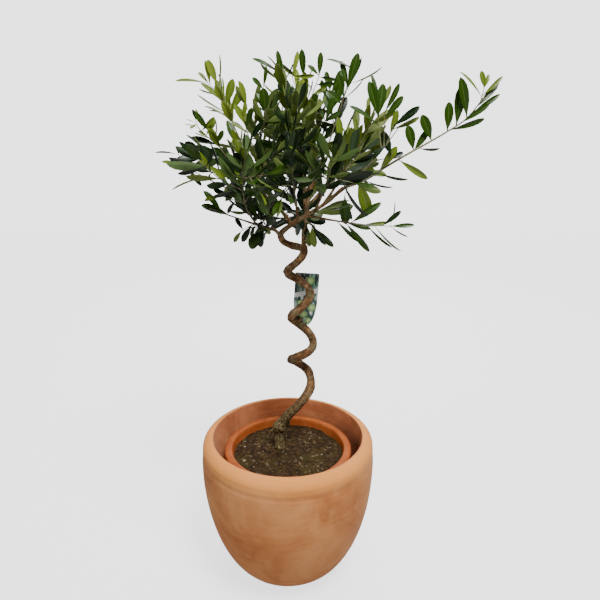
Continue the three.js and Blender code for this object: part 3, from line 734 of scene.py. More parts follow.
def makeChips():
    # Splinters of bark and white crumbs, each a small bevelled block pressed into the mix
    random = seededNumbers(chip["seed"])
    reach = nurseryInside(soil["top"]) - chip["rimGap"]
    bark, straw = chip["kinds"]
    bm = bmesh.new()
    for i in range(chip["count"]):
        radius = reach * math.sqrt(random())
        angle = 2 * math.pi * random()
        x, y = radius * math.cos(angle), radius * math.sin(angle)
        length = mix(*chip["lengths"], random()**chip["fewLong"])
        kind = 0 if random() < bark else 1 if random() < straw else 2
        least, more = chip["slim"] if kind < 2 else chip["round"]
        slim = least + more * random()
        size = Matrix.Diagonal((length, length * slim, length * chip["flat"] * slim, 1))
        heading = Matrix.Rotation(2 * math.pi * random(), 4, "Z")
        sway = Matrix.Rotation(chip["sway"] * (random() - 0.5), 4, "Y")
        at = Matrix.Translation((x, y, soil["top"] + soilLift(x, y) + chip["lift"] * length * slim))
        made = bmesh.ops.create_icosphere(
            bm, subdivisions=1, radius=0.5, matrix=at @ (heading @ sway) @ size)
        for vert in made["verts"]:
            vert.co += stray(random) * (chip["rough"] * length * slim)
            for face in vert.link_faces:
                face.material_index = kind
    chips = (
        chipMaterial("barkChip", (0.085, 0.042, 0.018)),
        chipMaterial("strawChip", (0.19, 0.14, 0.075)),
        chipMaterial("paleCrumb", (0.36, 0.3, 0.21)),
    )
    piece = finished(bm, "potting_chips", *chips, sharpAngle=35)
    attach(piece, "root")


# Stem and boughs: the same centre lines as the solids, fused and given the bark's relief

stem = {
    "bends": [  # across, height, depth of the turn before it
        (-16.3, 250.3, 0), (-18.5, 286, 0), (43.8, 388, 19), (7.1, 434, 19), (47.4, 468, 19),
        (6.8, 518, 19), (40.8, 564, 19), (-0.3, 603, 19), (30.6, 640, 0),
    ],
    "axisBack": 20 * mm,
    "footBack": 16 * mm,
    "forkHeight": 651 * mm,
    "forkTurn": 0.3,
    "forkSlope": 14 * mm,
    "footRadius": 9 * mm,
    "forkRadius": 6.7 * mm,
    "flare": (2 * mm, 7 * mm),
    "knob": (1.8 * mm, 297 * mm, 9 * mm),
}
stemTurns = len(stem["bends"]) - 1 + stem["forkTurn"]
stubs = [
    {"bend": 1.14, "radius": 5.4 * mm, "reach": 18 * mm, "heading": 10, "rise": 12},
    {"bend": 4.72, "radius": 3.6 * mm, "reach": 14 * mm, "heading": -20, "rise": 35},
]


def stemPoint(turn):
    bends = [(x * mm, z * mm, deep * mm) for x, z, deep in stem["bends"]]
    last = len(bends) - 1
    i = min(int(turn), last)
    across, height, deep = bends[i]
    if i == last:
        rest = (turn - last) / stem["forkTurn"]
        return Vector((across - rest * mm, stem["axisBack"], mix(height, stem["forkHeight"], rest)))
    nextAcross, nextHeight, nextDeep = bends[i + 1]
    u = turn - i

    def slope(k):
        if k == 0:
            return nextHeight - height
        above = stem["forkHeight"] + stem["forkSlope"] if k == last else bends[k + 1][1]
        return (above - bends[k - 1][1]) / 2

    z = between(height, nextHeight, slope(i), slope(i + 1), u)
    x = mix(across, nextAcross, (1 - math.cos(math.pi * u)) / 2)
    sway = mix(deep, nextDeep, u) * math.sin(math.pi * u)
    back = mix(stem["footBack"], stem["axisBack"], u) if i == 0 else stem["axisBack"]
    return Vector((x, back - sway if i % 2 else back + sway, z))


def stemRadius(height):
    share = min(max((height - soil["top"]) / (stem["forkHeight"] - soil["top"]), 0), 1)
    swell, drop = stem["flare"]
    knob, knobHeight, knobSpread = stem["knob"]
    return (
        mix(stem["forkRadius"], stem["footRadius"], (1 - share)**1.5)
        + swell * math.exp(-(height - soil["top"]) / drop)
        + knob * math.exp(-((height - knobHeight) / knobSpread)**2))


def stemLine(stepsEach=40):
    steps = round(stemTurns * stepsEach)
    return lineOf([stemPoint(stemTurns * i / steps) for i in range(steps + 1)])


# The crown's rule. Lengths here and in the limbs are in millimetres, and angles in degrees
foliage = {
    "reach": 95,
    "ringGap": 38,
    "shootShare": 0.86,
    "firstShoot": 9,
    "shootGap": 22,
    "without": (),  # shoots left out, where the picture shows sky
    "shootTurn": 137.5,
    "startStray": 0.5,
    "lengthFall": (1.1, 0.5),  # share of the full length at the stem's start, and its loss to the end
    "lengthStray": (0.85, 0.3),
    "shootLength": 84,
    "shootAngle": 54,
    "shootSway": 12,
    "lift": 0.3,
    "leafLength": 62,
    "tipLeafShare": 0.8,
    "stemRadius": (1.7, 0.7),
    "twigRadius": (1.2, 0.5),
    "sideRadius": (0.85, 0.45),
    "spaceMargin": 0.8,
    "limbMargin": 1.2,
    "seedSpacing": 1000,
    # finer than the solids: longer twigs, closer nodes, leaves nearer their real size, and side twigs
    "tipInset": 38,
    "twigEnd": 12,
    "sprigInset": 30,
    "sprigBare": 0.45,
    "sprigSeed": 7000,
    "shownSeed": 9250,
    "shownCurl": 0.25,
    "shownTwist": 0.15,
    "stemLeavesFrom": 0.12,
    "nodeGap": 16,
    "firstLeaf": 8,
    "bladeLengths": (55, 38),  # low on a twig and at its tip
    "bladeShare": 0.27,  # width for its length
    "leafAngle": 42,
    "leafSway": 26,
    "tipSpread": 13,
    "pairStray": 0.35,
    "bladeStray": (0.74, 0.56),
    "widthStray": (0.88, 0.26),
    "tipGaps": (1, 2),  # the last pair and the others stay this far from a twig's end
    "turnToLight": 0.3,
    "curl": 0.55,
    "curlBack": 0.25,
    "twist": 0.6,
    "tintStray": 0.3,
    "sideFrom": 0.3,
    "sideGap": 27,
    "sideLength": 34,
    "sideStray": (0.7, 0.6),
    "sideAngle": 50,
}


usualBare = 0.35


def limbOf(parent, at, tip, radius, seed=0, sag=0, way=(), bare=usualBare, **own):
    # From a share of its parent's length to its tip, through the points of its way or with a sag. Its
    # first share is bare wood, and the rest carries leaves by the crown's rule with its own changes
    return {
        "parent": parent, "at": at, "tip": tip, "radius": radius, "seed": seed, "sag": sag,
        "way": way, "bare": bare, "rule": {**foliage, **own}}


limbs = {
    "leader": limbOf(
        "trunk", 1, (26, 34, 968), (4.1, 2.6), 11, way=[(30, 20, 690), (36, 22, 722), (41, 26, 775)],
        bare=0.4),
    "coil": limbOf(
        "trunk", 0.985, (-12, 19, 671), (5.6, 5), way=[(22, 32, 646), (9, 36, 648), (-6, 31, 656)], bare=1),
    "right": limbOf(
        "coil", 1, (344, 10, 929), (4.4, 2.8), 12,
        way=[(-4, 7, 682), (14, 2, 696), (37, 0, 710), (69, -4, 732), (96, -4, 755),
             (131, 4, 767), (177, 10, 795), (243, 12, 832), (294, 10, 865)], shootLength=50, reach=66,
        leafLength=68, tipLeafLength=54, sideLength=0, nodeGap=23, bladeShare=0.29,
        without=(1, 2, 4, 5, 6, 7, 8, 9), stemLeavesFrom=1, stemRadius=(2.6, 1.0)),
    "front_left": limbOf(
        "coil", 0.97, (-52, -112, 852), (3.2, 2.3), 13,
        way=[(-20, 8, 681), (-31, -4, 687), (-50, -25, 699), (-62, -52, 726), (-66, -72, 765)],
        without=(1,)),
    "left": limbOf(
        "right", 0.085, (-74, -20, 918), (3.4, 2.6), 64,
        way=[(-9, 18, 713), (-26, 24, 724), (-28, 30, 755), (-40, 20, 820)]),
    "top_left": limbOf("leader", 0.3, (-12, -4, 966), (2.4, 1.9), 21, sag=0.05, without=(3,)),
    "top_right": limbOf(
        "leader", 0.34, (112, 24, 963), (2.4, 1.9), 22, sag=0.1, sideLength=0, nodeGap=17, without=(3,),
        stemLeavesFrom=1),
    "back": limbOf("leader", 0.2, (24, 168, 872), (2.6, 1.9), 23, sag=0.14),
    "back_right": limbOf("leader", 0.26, (136, 128, 852), (2.6, 1.9), 24, sag=0.12, without=(2,)),
    "back_left": limbOf("left", 0.22, (-106, 124, 850), (2.5, 1.9), 25, sag=0.12, without=(2,)),
    "back_low": limbOf("leader", 0.1, (46, 150, 742), (2.4, 1.8), 26, sag=0.02, without=(0,)),
    "right_high": limbOf("right", 0.24, (158, -22, 912), (2.4, 1.9), 81, sag=0.1, without=(2, 3)),
    "right_middle": limbOf(
        "right", 0.29, (194, -62, 886), (2.3, 1.8), 32, sag=0.12, without=(1,), stemLeavesFrom=1),
    "right_low": limbOf(
        "right", 0.16, (206, -72, 704), (2.3, 1.8), 33, sag=0.05, shootLength=62, leafLength=56,
        tipLeafLength=52, sideLength=0, nodeGap=17, without=(0, 1, 2), stemLeavesFrom=1),
    "front_right": limbOf("right", 0.2, (76, -132, 842), (2.4, 1.8), 34, sag=0.12, without=(0,)),
    "front": limbOf("right", 0.12, (8, -142, 846), (2.4, 1.8), 35, sag=0.12, without=(0,)),
    "upper_left": limbOf(
        "left", 0.3, (-126, 34, 954), (2.3, 1.8), 41, sag=0.1, without=(2, 3), stemLeavesFrom=0.55),
    "left_high": limbOf(
        "left", 0.25, (-144, -20, 880), (2.3, 1.8), 42, sag=0.1, sideLength=0, stemLeavesFrom=0.75),
    "left_far": limbOf(
        "left", 0.17, (-206, 4, 814), (2.3, 1.8), 43, sag=0.06, sideLength=0, without=(1, 2),
        stemLeavesFrom=1),
    "left_low": limbOf(
        "front_left", 0.26, (-158, -40, 742), (2.1, 1.7), 44, sag=0.02, shootLength=44, leafLength=50,
        tipLeafLength=48, sideLength=0, nodeGap=18, without=(1,), stemLeavesFrom=1),
    "hanging_left": limbOf(
        "front_left", 0.14, (-80, -34, 660), (1.9, 1.6), 45, sag=0.04, shootLength=24, leafLength=42,
        tipLeafLength=46, tipLeafShare=0.6, nodeGap=11, without=(0,), stemLeavesFrom=1),
    "hanging_right": limbOf(
        "leader", 0.16, (62, 0, 660), (1.9, 1.6), 46, sag=-0.3, shootLength=24, leafLength=54,
        tipLeafLength=44, tipLeafShare=0.6, nodeGap=10, without=(0, 1, 2, 3), stemLeavesFrom=1),
}

# Single shoots that the picture shows outside the rule: limb, place along it, tip and sag. Their order,
# and that of the shown twigs, sets their random draws
sprigs = [
    ("right", 0.1, (52, -36, 718), -0.1),
    ("front_left", 0.15, (-60, -32, 730), 0.08),
    ("front_left", 0.2, (-36, -58, 704), 0.1),
    ("front_left", 0.24, (-48, -52, 744), 0.1),
    ("front_left", 0.27, (-28, -34, 738), 0.1),
    ("left", 0.04, (-30, -6, 722), 0.05),
    ("leader", 0.04, (40, -6, 643), -0.3),
    ("leader", 0.06, (24, -14, 672), -0.3),
    ("right", 0.15, (88, -34, 724), -0.1),
]

# Leaves that the picture shows on their own, by twig: limb, place along it, way and leaves. Each leaf is
# its place along the twig, its tip's three coordinates, its width for its length and its turn from
# facing the eye. With no way of its own, the twig is the limb itself
shownTwigs = [
    ("right", 0, [], [
        (0.67, 200, 6, 855, 0.38, 15), (0.67, 235, 14, 847, 0.3, 30), (0.75, 222, 4, 871, 0.38, 10),
        (0.69, 259, 22, 813, 0.16, 60), (0.82, 265, 6, 891, 0.33, 20), (0.86, 281, 3, 915, 0.27, 10),
        (0.91, 279, -8, 927, 0.25, 25), (0.83, 324, 3, 863, 0.17, 40), (0.93, 344, 2, 903, 0.16, 20),
        (0.88, 326, -4, 888, 0.18, 15), (0.96, 347, 18, 923, 0.18, 25), (0.6, 236, 1, 768, 0.19, 20),
        (0.5, 206, 15, 761, 0.12, 60), (0.44, 181, 18, 747, 0.1, 70)]),
    ("right", 0.99, [(319, 11, 912)], [
        (0.44, 349, 10, 930, 0.16, 30), (0.34, 283, 14, 941, 0.12, 60), (0.98, 312, 7, 938, 0.34, 20),
        (1.0, 327, 15, 934, 0.28, 30)]),
    ("right_middle", 0.81, [(153, -46, 876)], [
        (1.0, 175, -50, 917, 0.2, 30), (0.84, 180, -51, 899, 0.28, 20)]),
    ("right_middle", 0.855, [(166, -54, 856)], [
        (0.98, 204, -62, 884, 0.24, 20), (0.5, 172, -57, 879, 0.26, 20), (0.0, 135, -52, 808, 0.28, 20),
        (0.8, 209, -48, 867, 0.16, 40)]),
    ("right_middle", 0.77, [(144, -40, 869)], [
        (0.98, 129, -46, 921, 0.26, 10), (1.0, 151, -40, 918, 0.3, 15), (1.0, 137, -34, 934, 0.14, 50),
        (0.74, 102, -46, 889, 0.16, 40)]),
    ("top_right", 0.74, [(99, 20, 909), (116, 20, 938)], [
        (0.57, 116, 14, 965, 0.26, 10), (0.6, 90, 22, 955, 0.22, 15), (0.99, 68, 24, 962, 0.12, 60),
        (0.9, 124, 24, 959, 0.14, 50), (0.39, 84, 13, 935, 0.3, 10), (0.7, 158, 22, 938, 0.04, 80),
        (0.36, 130, 27, 923, 0.04, 80), (0.25, 67, 16, 909, 0.45, 20)]),
    ("leader", 0.845, [(54, 26, 931)], [
        (0.98, 57, 22, 967, 0.26, 10), (1.0, 37, 22, 949, 0.35, 40), (0.98, 81, 14, 924, 0.2, 30),
        (0.76, 78, 17, 918, 0.26, 30), (0.58, 29, 24, 925, 0.16, 50), (0.48, 67, 32, 913, 0.3, 20)]),
    ("top_left", 0.74, [(20, 6, 894), (10, 4, 930)], [
        (0.97, 21, -2, 966, 0.2, 20), (1.0, -2, -4, 940, 0.14, 50), (0.65, 18, 9, 942, 0.26, 20),
        (0.32, 28, -2, 925, 0.38, 15), (1.0, 47, 8, 929, 0.2, 40), (0.24, 7, -4, 900, 0.6, 10)]),
    ("top_left", 0.72, [(-7, -6, 933)], [
        (0.96, -11, -9, 967, 0.24, 15), (1.0, -50, -4, 960, 0.16, 40), (1.0, -25, -12, 961, 0.1, 60),
        (0.54, -16, -6, 936, 0.2, 30), (0.46, 9, 5, 918, 0.16, 40)]),
    ("left", 0.755, [(-32, -16, 876), (-35, -8, 912)], [
        (1.0, -28, -12, 944, 0.2, 30), (0.97, -50, -15, 928, 0.34, 20), (0.6, -33, -25, 911, 0.42, 10),
        (0.6, -45, -11, 906, 0.3, 30), (0.28, -47, -10, 888, 0.3, 10), (0.26, -17, -7, 880, 0.26, 20)]),
    ("upper_left", 0.69, [(-105, 26, 897), (-127, 30, 920)], [
        (0.94, -128, 25, 955, 0.2, 20), (0.98, -142, 34, 939, 0.26, 30), (1.0, -179, 24, 929, 0.13, 50),
        (0.49, -135, 19, 923, 0.19, 30), (0.73, -100, 33, 963, 0.035, 80), (0.55, -101, 34, 930, 0.12, 60),
        (0.44, -85, 21, 926, 0.33, 10), (0.24, -73, 25, 911, 0.24, 20), (0.28, -59, 33, 917, 0.18, 30),
        (0.13, -131, 22, 889, 0.11, 50), (0.2, -128, 35, 882, 0.09, 60)]),
    ("left_high", 0.87, [(-139, -12, 851), (-144, -12, 865)], [
        (0.97, -146, -15, 880, 0.34, 30), (0.96, -141, -9, 880, 0.34, 30), (0.85, -158, -15, 867, 0.1, 60),
        (0.86, -152, -20, 852, 0.4, 30), (0.72, -162, -6, 860, 0.08, 70), (0.64, -112, -17, 867, 0.24, 30),
        (0.47, -112, -6, 865, 0.3, 30), (0.07, -151, -19, 839, 0.26, 20), (0.0, -122, -19, 852, 0.26, 10),
        (0.67, -158, -19, 822, 0.5, 10), (0.1, -100, -13, 847, 0.34, 20), (0.4, -139, -14, 848, 0.35, 30)]),
    ("left_far", 1.0, [(-178, 2, 810)], [
        (0.96, -214, -2, 816, 0.13, 50), (0.94, -178, 6, 822, 0.4, 20), (0.0, -203, -5, 801, 0.17, 20)]),
    ("left_far", 0, [], [
        (1.0, -142, -1, 758, 0.22, 20), (0.81, -197, 14, 756, 0.06, 70)]),
    ("leader", 0.74, [(63, -20, 862)], [
        (1.0, 76, -26, 897, 0.28, 20), (0.9, 88, -19, 876, 0.28, 25), (0.66, 73, -7, 842, 0.32, 20),
        (1.0, 50, -16, 888, 0.28, 20)]),
    ("hanging_right", 0.115, [(43, -2, 691)], [
        (0.02, 39, 24, 646, 0.26, 15), (1.0, 47, -5, 653, 0.34, 20), (1.0, 66, -8, 657, 0.2, 30),
        (1.0, 82, 2, 651, 0.2, 20)]),
    ("hanging_left", 0.13, [(-49, -44, 702), (-73, -48, 691)], [
        (0.99, -86, -52, 674, 0.36, 20), (0.95, -80, -51, 713, 0.36, 25), (0.75, -73, -51, 674, 0.36, 15),
        (0.54, -43, -40, 661, 0.34, 15), (0.37, -24, -21, 677, 0.4, 30), (0.66, -60, -38, 678, 0.3, 30)]),
    ("left_low", 0, [], [
        (0.62, -137, -32, 734, 0.26, 20), (0.77, -130, -34, 756, 0.26, 30), (0.87, -105, -34, 717, 0.4, 20),
        (0.99, -148, -28, 727, 0.3, 40)]),
    ("front_left", 0.61, [(-101, -50, 748)], [
        (0.54, -112, -60, 762, 0.28, 20), (0.82, -76, -58, 765, 0.3, 20), (1.0, -130, -54, 744, 0.28, 30),
        (0.4, -96, -51, 721, 0.3, 30)]),
    ("right", 0.505, [(174, 2, 808)], [
        (0.1, 182, -1, 821, 0.3, 15), (0.96, 156, -10, 847, 0.35, 15), (0.72, 195, 8, 812, 0.3, 20)]),
    ("left", 0.57, [(-56, -30, 834), (-66, -34, 867)], [
        (0.9, -76, -39, 888, 0.3, 20), (0.86, -51, -38, 882, 0.3, 20), (0.78, -83, -35, 864, 0.26, 30),
        (0.68, -36, -38, 861, 0.26, 20), (0.99, -60, -36, 891, 0.3, 30)]),
    ("right_low", 0, [], [
        (0.37, 121, -30, 668, 0.14, 20), (0.48, 140, -32, 651, 0.16, 15), (0.48, 140, -36, 691, 0.18, 30),
        (0.69, 167, -46, 704, 0.16, 30), (0.54, 156, -34, 735, 0.2, 20), (0.73, 173, -46, 659, 0.09, 50),
        (0.82, 186, -42, 650, 0.04, 70), (0.92, 119, -57, 703, 0.12, 40), (0.91, 185, -55, 725, 0.22, 20),
        (1.0, 206, -64, 704, 0.2, 20), (1.0, 199, -52, 679, 0.08, 50), (1.0, 179, -52, 739, 0.04, 70)]),
    ("right", 0.37, [(97, -14, 743)], [
        (1.0, 98, -20, 696, 0.36, 15), (1.0, 107, -8, 700, 0.26, 40)]),
    ("right", 0.41, [(118, -16, 770)], [
        (1.0, 137, -24, 713, 0.34, 15)]),
]


def limbLine(limb, start):
    rule = limb["rule"]
    tip = Vector(limb["tip"]) * mm
    inset = rule["tipLeafShare"] * rule.get("tipLeafLength", rule["leafLength"]) * mm
    if limb["way"]:
        way = [Vector(point) * mm for point in limb["way"]]
        end = tip if limb["bare"] == 1 else tip + (way[-1] - tip).normalized() * inset
        return throughPoints([start, *way, end])
    bend = start.lerp(tip, 0.5)
    bend.z -= limb["sag"] * (tip - start).length
    return bentLine(start, bend, tip + (bend - tip).normalized() * inset)


lines = {"trunk": stemLine()}
for name, limb in limbs.items():
    parent = lines[limb["parent"]]
    lines[name] = limbLine(limb, placeOn(parent, limb["at"] * parent["length"])[0])

wood = {
    "voxel": 0.95 * mm,
    "sides": 16,
    "gap": 3 * mm,
    "coarseGaps": (6 * mm, 12 * mm),  # along the stem and the limbs, where leaves keep off them
    "relief": [(150, 55, 0.75 * mm), (420, 130, 0.4 * mm)],  # round, along, height
    "lumps": (42, 1.5 * mm),
    "swell": 0.45 * mm,
    "depthShare": 0.7,  # how much of a place's depth counts in the pattern round a limb
    "knob": (3 * mm, 293 * mm, 9 * mm),  # height, place and spread of the swelling over the foot
    "burl": (0.6, 0.8, 120),  # least and more of the knob's height, and noise scale
    "scars": 60,
    "scarRadius": 3.2 * mm,
    "scarHeight": 1.5 * mm,
    "scarShift": 0.25,  # this share of the scars is sunk, not raised
    "thinAndThick": (1.4 * mm, 6 * mm),
    "thinShare": (0.35, 0.65),  # how much of the relief a thin limb has, and how much more a thick one
    "seed": 900,
}


def barePart(name, gap):
    return partOf(lines[name], 0, limbs[name]["bare"], gap)


def woodTubes():
    points = partOf(lines["trunk"], 0, 1, wood["gap"])
    tubes = [(points, [stemRadius(point.z) for point in points])]
    for stub in stubs:
        start = stemPoint(stub["bend"])
        heading, rise = math.radians(stub["heading"]), math.radians(stub["rise"])
        level = math.cos(rise)
        towards = Vector((level * math.cos(heading), level * math.sin(heading), math.sin(rise)))
        tubes.append(([start, start + towards * stub["reach"]], [stub["radius"], 0.9 * stub["radius"]]))
    for name, limb in limbs.items():
        points = barePart(name, wood["gap"])
        tubes.append((points, taper(len(points), limb["radius"])))
    return tubes


def remeshed(piece, voxel):
    modifier = piece.modifiers.new("fuse", "REMESH")
    modifier.mode = "VOXEL"
    modifier.voxel_size = voxel
    shape = piece.evaluated_get(bpy.context.evaluated_depsgraph_get())
    mesh = bpy.data.meshes.new_from_object(shape)
    bpy.data.objects.remove(piece)
    return mesh


def barkScars(trunkPoints):
    # Places on the stem's surface, each with its share of the full height
    random = seededNumbers(wood["seed"])
    scars = []
    for i in range(wood["scars"]):
        point = trunkPoints[int(random() * (len(trunkPoints) - 1))]
        around = stray(random).normalized()
        scars.append((point + around * stemRadius(point.z), random() - wood["scarShift"]))
    return scars


def barkLift(co, around, along, onTrunk, scars):
    lumpScale, lumpHeight = wood["lumps"]
    lift = wood["swell"] + lumpHeight * noise.noise(co * lumpScale)
    knob, knobHeight, knobSpread = wood["knob"]
    least, more, burlScale = wood["burl"]
    burl = least + more * noise.noise(co * burlScale)
    lift += knob * burl * math.exp(-((co.z - knobHeight) / knobSpread)**2) * onTrunk
    for roundScale, alongScale, height in wood["relief"]:
        spot = Vector((around.x * roundScale, around.y * roundScale, along * alongScale))
        lift += height * noise.noise(spot + Vector((0, 0, around.z * roundScale)))
    for scar, share in scars:
        near = (co - scar).length / wood["scarRadius"]
        if near < 2:
            lift += wood["scarHeight"] * share * math.exp(-near * near)
    return lift


def makeWood():
    tubes = woodTubes()
    rough = tubesMesh("rough_wood", tubes, wood["sides"], None)
    mesh = remeshed(rough, wood["voxel"])
    mesh.name = "olive_wood"
    bm = bmesh.new()
    bm.from_mesh(mesh)
    bmesh.ops.smooth_vert(bm, verts=bm.verts, factor=0.5, use_axis_x=True, use_axis_y=True, use_axis_z=True)
    places = [(tube, i) for tube, (points, radii) in enumerate(tubes) for i in range(len(points))]
    tree = treeOf([tubes[tube][0][i] for tube, i in places])
    distances = [lineOf(points)["distances"] for points, radii in tubes]
    scars = barkScars(tubes[0][0])
    barkPlaces = np.zeros((len(bm.verts), 3), np.float32)
    least, more = wood["thinShare"]
    moved = []
    for vert in bm.verts:
        point, index, distance = tree.find(vert.co)
        tube, i = places[index]
        points = tubes[tube][0]
        ahead = (points[min(i + 1, len(points) - 1)] - points[max(i - 1, 0)]).normalized()
        offset = vert.co - point
        along = distances[tube][i] + offset.dot(ahead) + tube
        around = offset - ahead * offset.dot(ahead)
        barkPlaces[vert.index] = (around.x, around.y + around.z * wood["depthShare"], along)
        lift = barkLift(vert.co, around, along, tube < 2, scars)
        size = smooth(*wood["thinAndThick"], around.length)
        moved.append(vert.co + vert.normal * lift * (least + more * size))
    for vert, co in zip(bm.verts, moved):
        vert.co = co
        vert.co.z = max(vert.co.z, soil["top"] + clearance)
    bm.to_mesh(mesh)
    bm.free()
    giveAttribute(mesh, "barkPlace", barkPlaces)
    mesh.materials.clear()
    mesh.shade_smooth()
    piece = linked("olive_wood", mesh, barkMaterial())
    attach(piece, "root")
    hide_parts("trunk", *[name + "_bough" for name in limbs])


makeSoil()
makeChips()
print("potting mix ready")
makeWood()
print("stem and boughs ready")


# Crown: every mass's stem and shoots by the solids' rule, side twigs, the shown twigs, the leaves

def massOf(number, name):
    limb, line = limbs[name], lines[name]
    bare = limb["bare"] + clearance / line["length"]
    return {
        "number": number, "name": name, "seed": limb["seed"], "rule": limb["rule"],
        "stem": partOf(line, bare, 1, limb["rule"]["ringGap"] * mm), "tip": Vector(limb["tip"]) * mm,
        "tubes": [], "sprays": []}


bearing = [name for name, limb in limbs.items() if limb["bare"] < 1]
masses = [massOf(number, name) for number, name in enumerate(bearing)]


def stacked(lineList):
    # Every segment of several lines, with the number of the line that it belongs to
    spots = [np.array([tuple(point) for point in points]) for points in lineList]
    owners = np.concatenate([np.full(len(line) - 1, i) for i, line in enumerate(spots)])
    return np.concatenate([line[:-1] for line in spots]), np.concatenate([line[1:] for line in spots]), owners


def limbPaths():
    trunkGap, limbGap = wood["coarseGaps"]
    paths = [(partOf(lines["trunk"], 0, 1, trunkGap), stem["footRadius"])]
    for name, limb in limbs.items():
        paths.append((barePart(name, limbGap), max(limb["radius"]) * mm))
    return paths


massSegments = stacked([mass["stem"] for mass in masses])
limbSegments = stacked([points for points, radius in limbPaths()])
limbReach = np.array([radius for points, radius in limbPaths()])[limbSegments[2]]


def distancesTo(segments, spots):
    # Distance from each spot to each segment
    low, high, owners = segments
    along = high - low
    share = np.einsum("ijk,jk->ij", spots[:, None] - low, along) / np.einsum("jk,jk->j", along, along)
    feet = low + np.clip(share, 0, 1)[..., None] * along
    return np.linalg.norm(spots[:, None] - feet, axis=2)


def isClear(spots, margin):
    return bool((distancesTo(limbSegments, spots) > limbReach + margin).all())


def isFree(spot, mass):
    # Whether a shoot may reach here: nearer to its own mass's stem than to any other, and off the limbs
    spots = np.array([tuple(spot)])
    distances = distancesTo(massSegments, spots)[0]
    own = massSegments[2] == mass["number"]
    ownDistance = distances[own].min()
    isNear = ownDistance <= mass["rule"]["reach"] * mm
    isOwn = distances[~own].min() > ownDistance + mass["rule"]["spaceMargin"] * mm
    return bool(isNear and isOwn and isClear(spots, mass["rule"]["limbMargin"] * mm))


def aroundStem(along, angle):
    level = Vector((1, 0, 0)) if abs(along.z) > 0.95 else up
    first = (level - along * level.dot(along)).normalized()
    return first * math.cos(angle) + along.cross(first) * math.sin(angle)


def leaning(along, outwards, angle):
    return along * math.cos(angle) + outwards * math.sin(angle)


def shootLine(mass, start, heading, length):
    # The same steps as in the solids: it turns upwards, and stops at the edge of its space
    rule = mass["rule"]
    points = [start]
    steps = max(1, int(length / (rule["ringGap"] * mm) + 0.5))
    for i in range(steps):
        ahead = points[-1] + heading * (length / steps)
        if not isFree(ahead, mass):
            break
        points.append(ahead)
        heading = (heading + up * rule["lift"]).normalized()
    return points


def eased(points):
    return throughPoints(points, 5) if len(points) > 2 else lineOf(points)


shownOrder = -1  # leaves with their own places come first
tints = {"deep": 0, "mid": 1, "bright": 2, "fresh": 3}
sprayAgesAndLight = {
    "shares": {"deep": 0.36, "mid": 0.34, "bright": 0.25},  # the rest is fresh
    "spread": 0.9,
    "heights": (0.7, 0.94),  # young, lighter sprays are more common from here to the crown's top, partly as painted light on the lit top
    "gain": 0.56,
    "level": 0.38,
}


# Tints lighten with height and darken low in the crown: partly young growth, partly painted light on the lit
# top and painted shade below
def sprayTint(random, height):
    young = smooth(*sprayAgesAndLight["heights"], height) - sprayAgesAndLight["level"]
    draw = random() * sprayAgesAndLight["spread"] + sprayAgesAndLight["gain"] * young
    for name, share in sprayAgesAndLight["shares"].items():
        if draw < share:
            return tints[name]
        draw -= share
    return tints["fresh"]


def strayTint(random, tint, share):
    # A few leaves of a spray are of another age
    if tint < tints["fresh"] and random() < share:
        return int(random() * tints["fresh"])
    return tint


def grow(mass, points, radii):
    mass["tubes"].append((points, taper(len(points), mass["rule"][radii])))


def dress(mass, line, random, tint, **leaves):
    # A spray: a line that carries leaves, from its first pair on or each at its own place
    mass["sprays"].append({"line": line, "random": random, "tint": tint, **leaves})


def growSideTwigs(mass, shoot, random, tint):
    rule = mass["rule"]
    gap = rule["sideGap"] * mm
    side = rule["sideFrom"] * shoot["length"]
    turn = random() * math.pi
    least, more = rule["sideStray"]
    while rule["sideLength"] and side < shoot["length"] - gap:
        start, along = placeOn(shoot, side)
        turn += math.radians(rule["shootTurn"])
        length = rule["sideLength"] * mm * (least + more * random())
        heading = leaning(along, aroundStem(along, turn), math.radians(rule["sideAngle"]))
        points = shootLine(mass, start, heading, length)
        if len(points) > 1:
            grow(mass, points, "sideRadius")
            dress(mass, lineOf(points), random, tint, first=rule["firstLeaf"] * mm)
        side += gap


def growShoots(mass):
    rule = mass["rule"]
    coarse = lineOf(mass["stem"])
    length = coarse["length"]
    whole, loss = rule["lengthFall"]
    least, more = rule["lengthStray"]
    for i in range(int(length * rule["shootShare"] / (rule["shootGap"] * mm))):
        random = seededNumbers(mass["seed"] * rule["seedSpacing"] + i)
        distance = (rule["firstShoot"] + i * rule["shootGap"]) * mm
        point, along = placeOn(coarse, distance)
        angle = mass["seed"] + i * math.radians(rule["shootTurn"]) + rule["startStray"] * random()
        fall = whole - loss * distance / length
        reach = rule["shootLength"] * mm * fall * (least + more * random())
        lean = math.radians(rule["shootAngle"] + rule["shootSway"] * (random() - 0.5))
        points = shootLine(mass, point, leaning(along, aroundStem(along, angle), lean), reach)
        if len(points) < 2 or i in rule["without"]:
            continue
        # The solids' tip leaves stand for this last stretch of the twig and its smaller leaves
        last = (points[-1] - points[-2]).normalized()
        points.append(points[-1] + last * rule["twigEnd"] * mm)
        shoot = eased(points)
        grow(mass, shoot["points"], "twigRadius")
        tint = sprayTint(random, points[-1].z)
        dress(mass, shoot, random, tint, first=rule["firstLeaf"] * mm)
        growSideTwigs(mass, shoot, random, tint)


def growShown(mass):
    for i, (limb, at, way, leaves) in enumerate(shownTwigs):
        if limb != mass["name"]:
            continue
        line = lines[limb]
        if way:
            start = placeOn(line, at * line["length"])[0]
            line = throughPoints([start, *[Vector(point) * mm for point in way]], 8)
            grow(mass, line["points"], "twigRadius")
        random = seededNumbers(mass["rule"]["shownSeed"] + i)
        dress(mass, line, random, sprayTint(random, line["points"][-1].z), leaves=leaves)


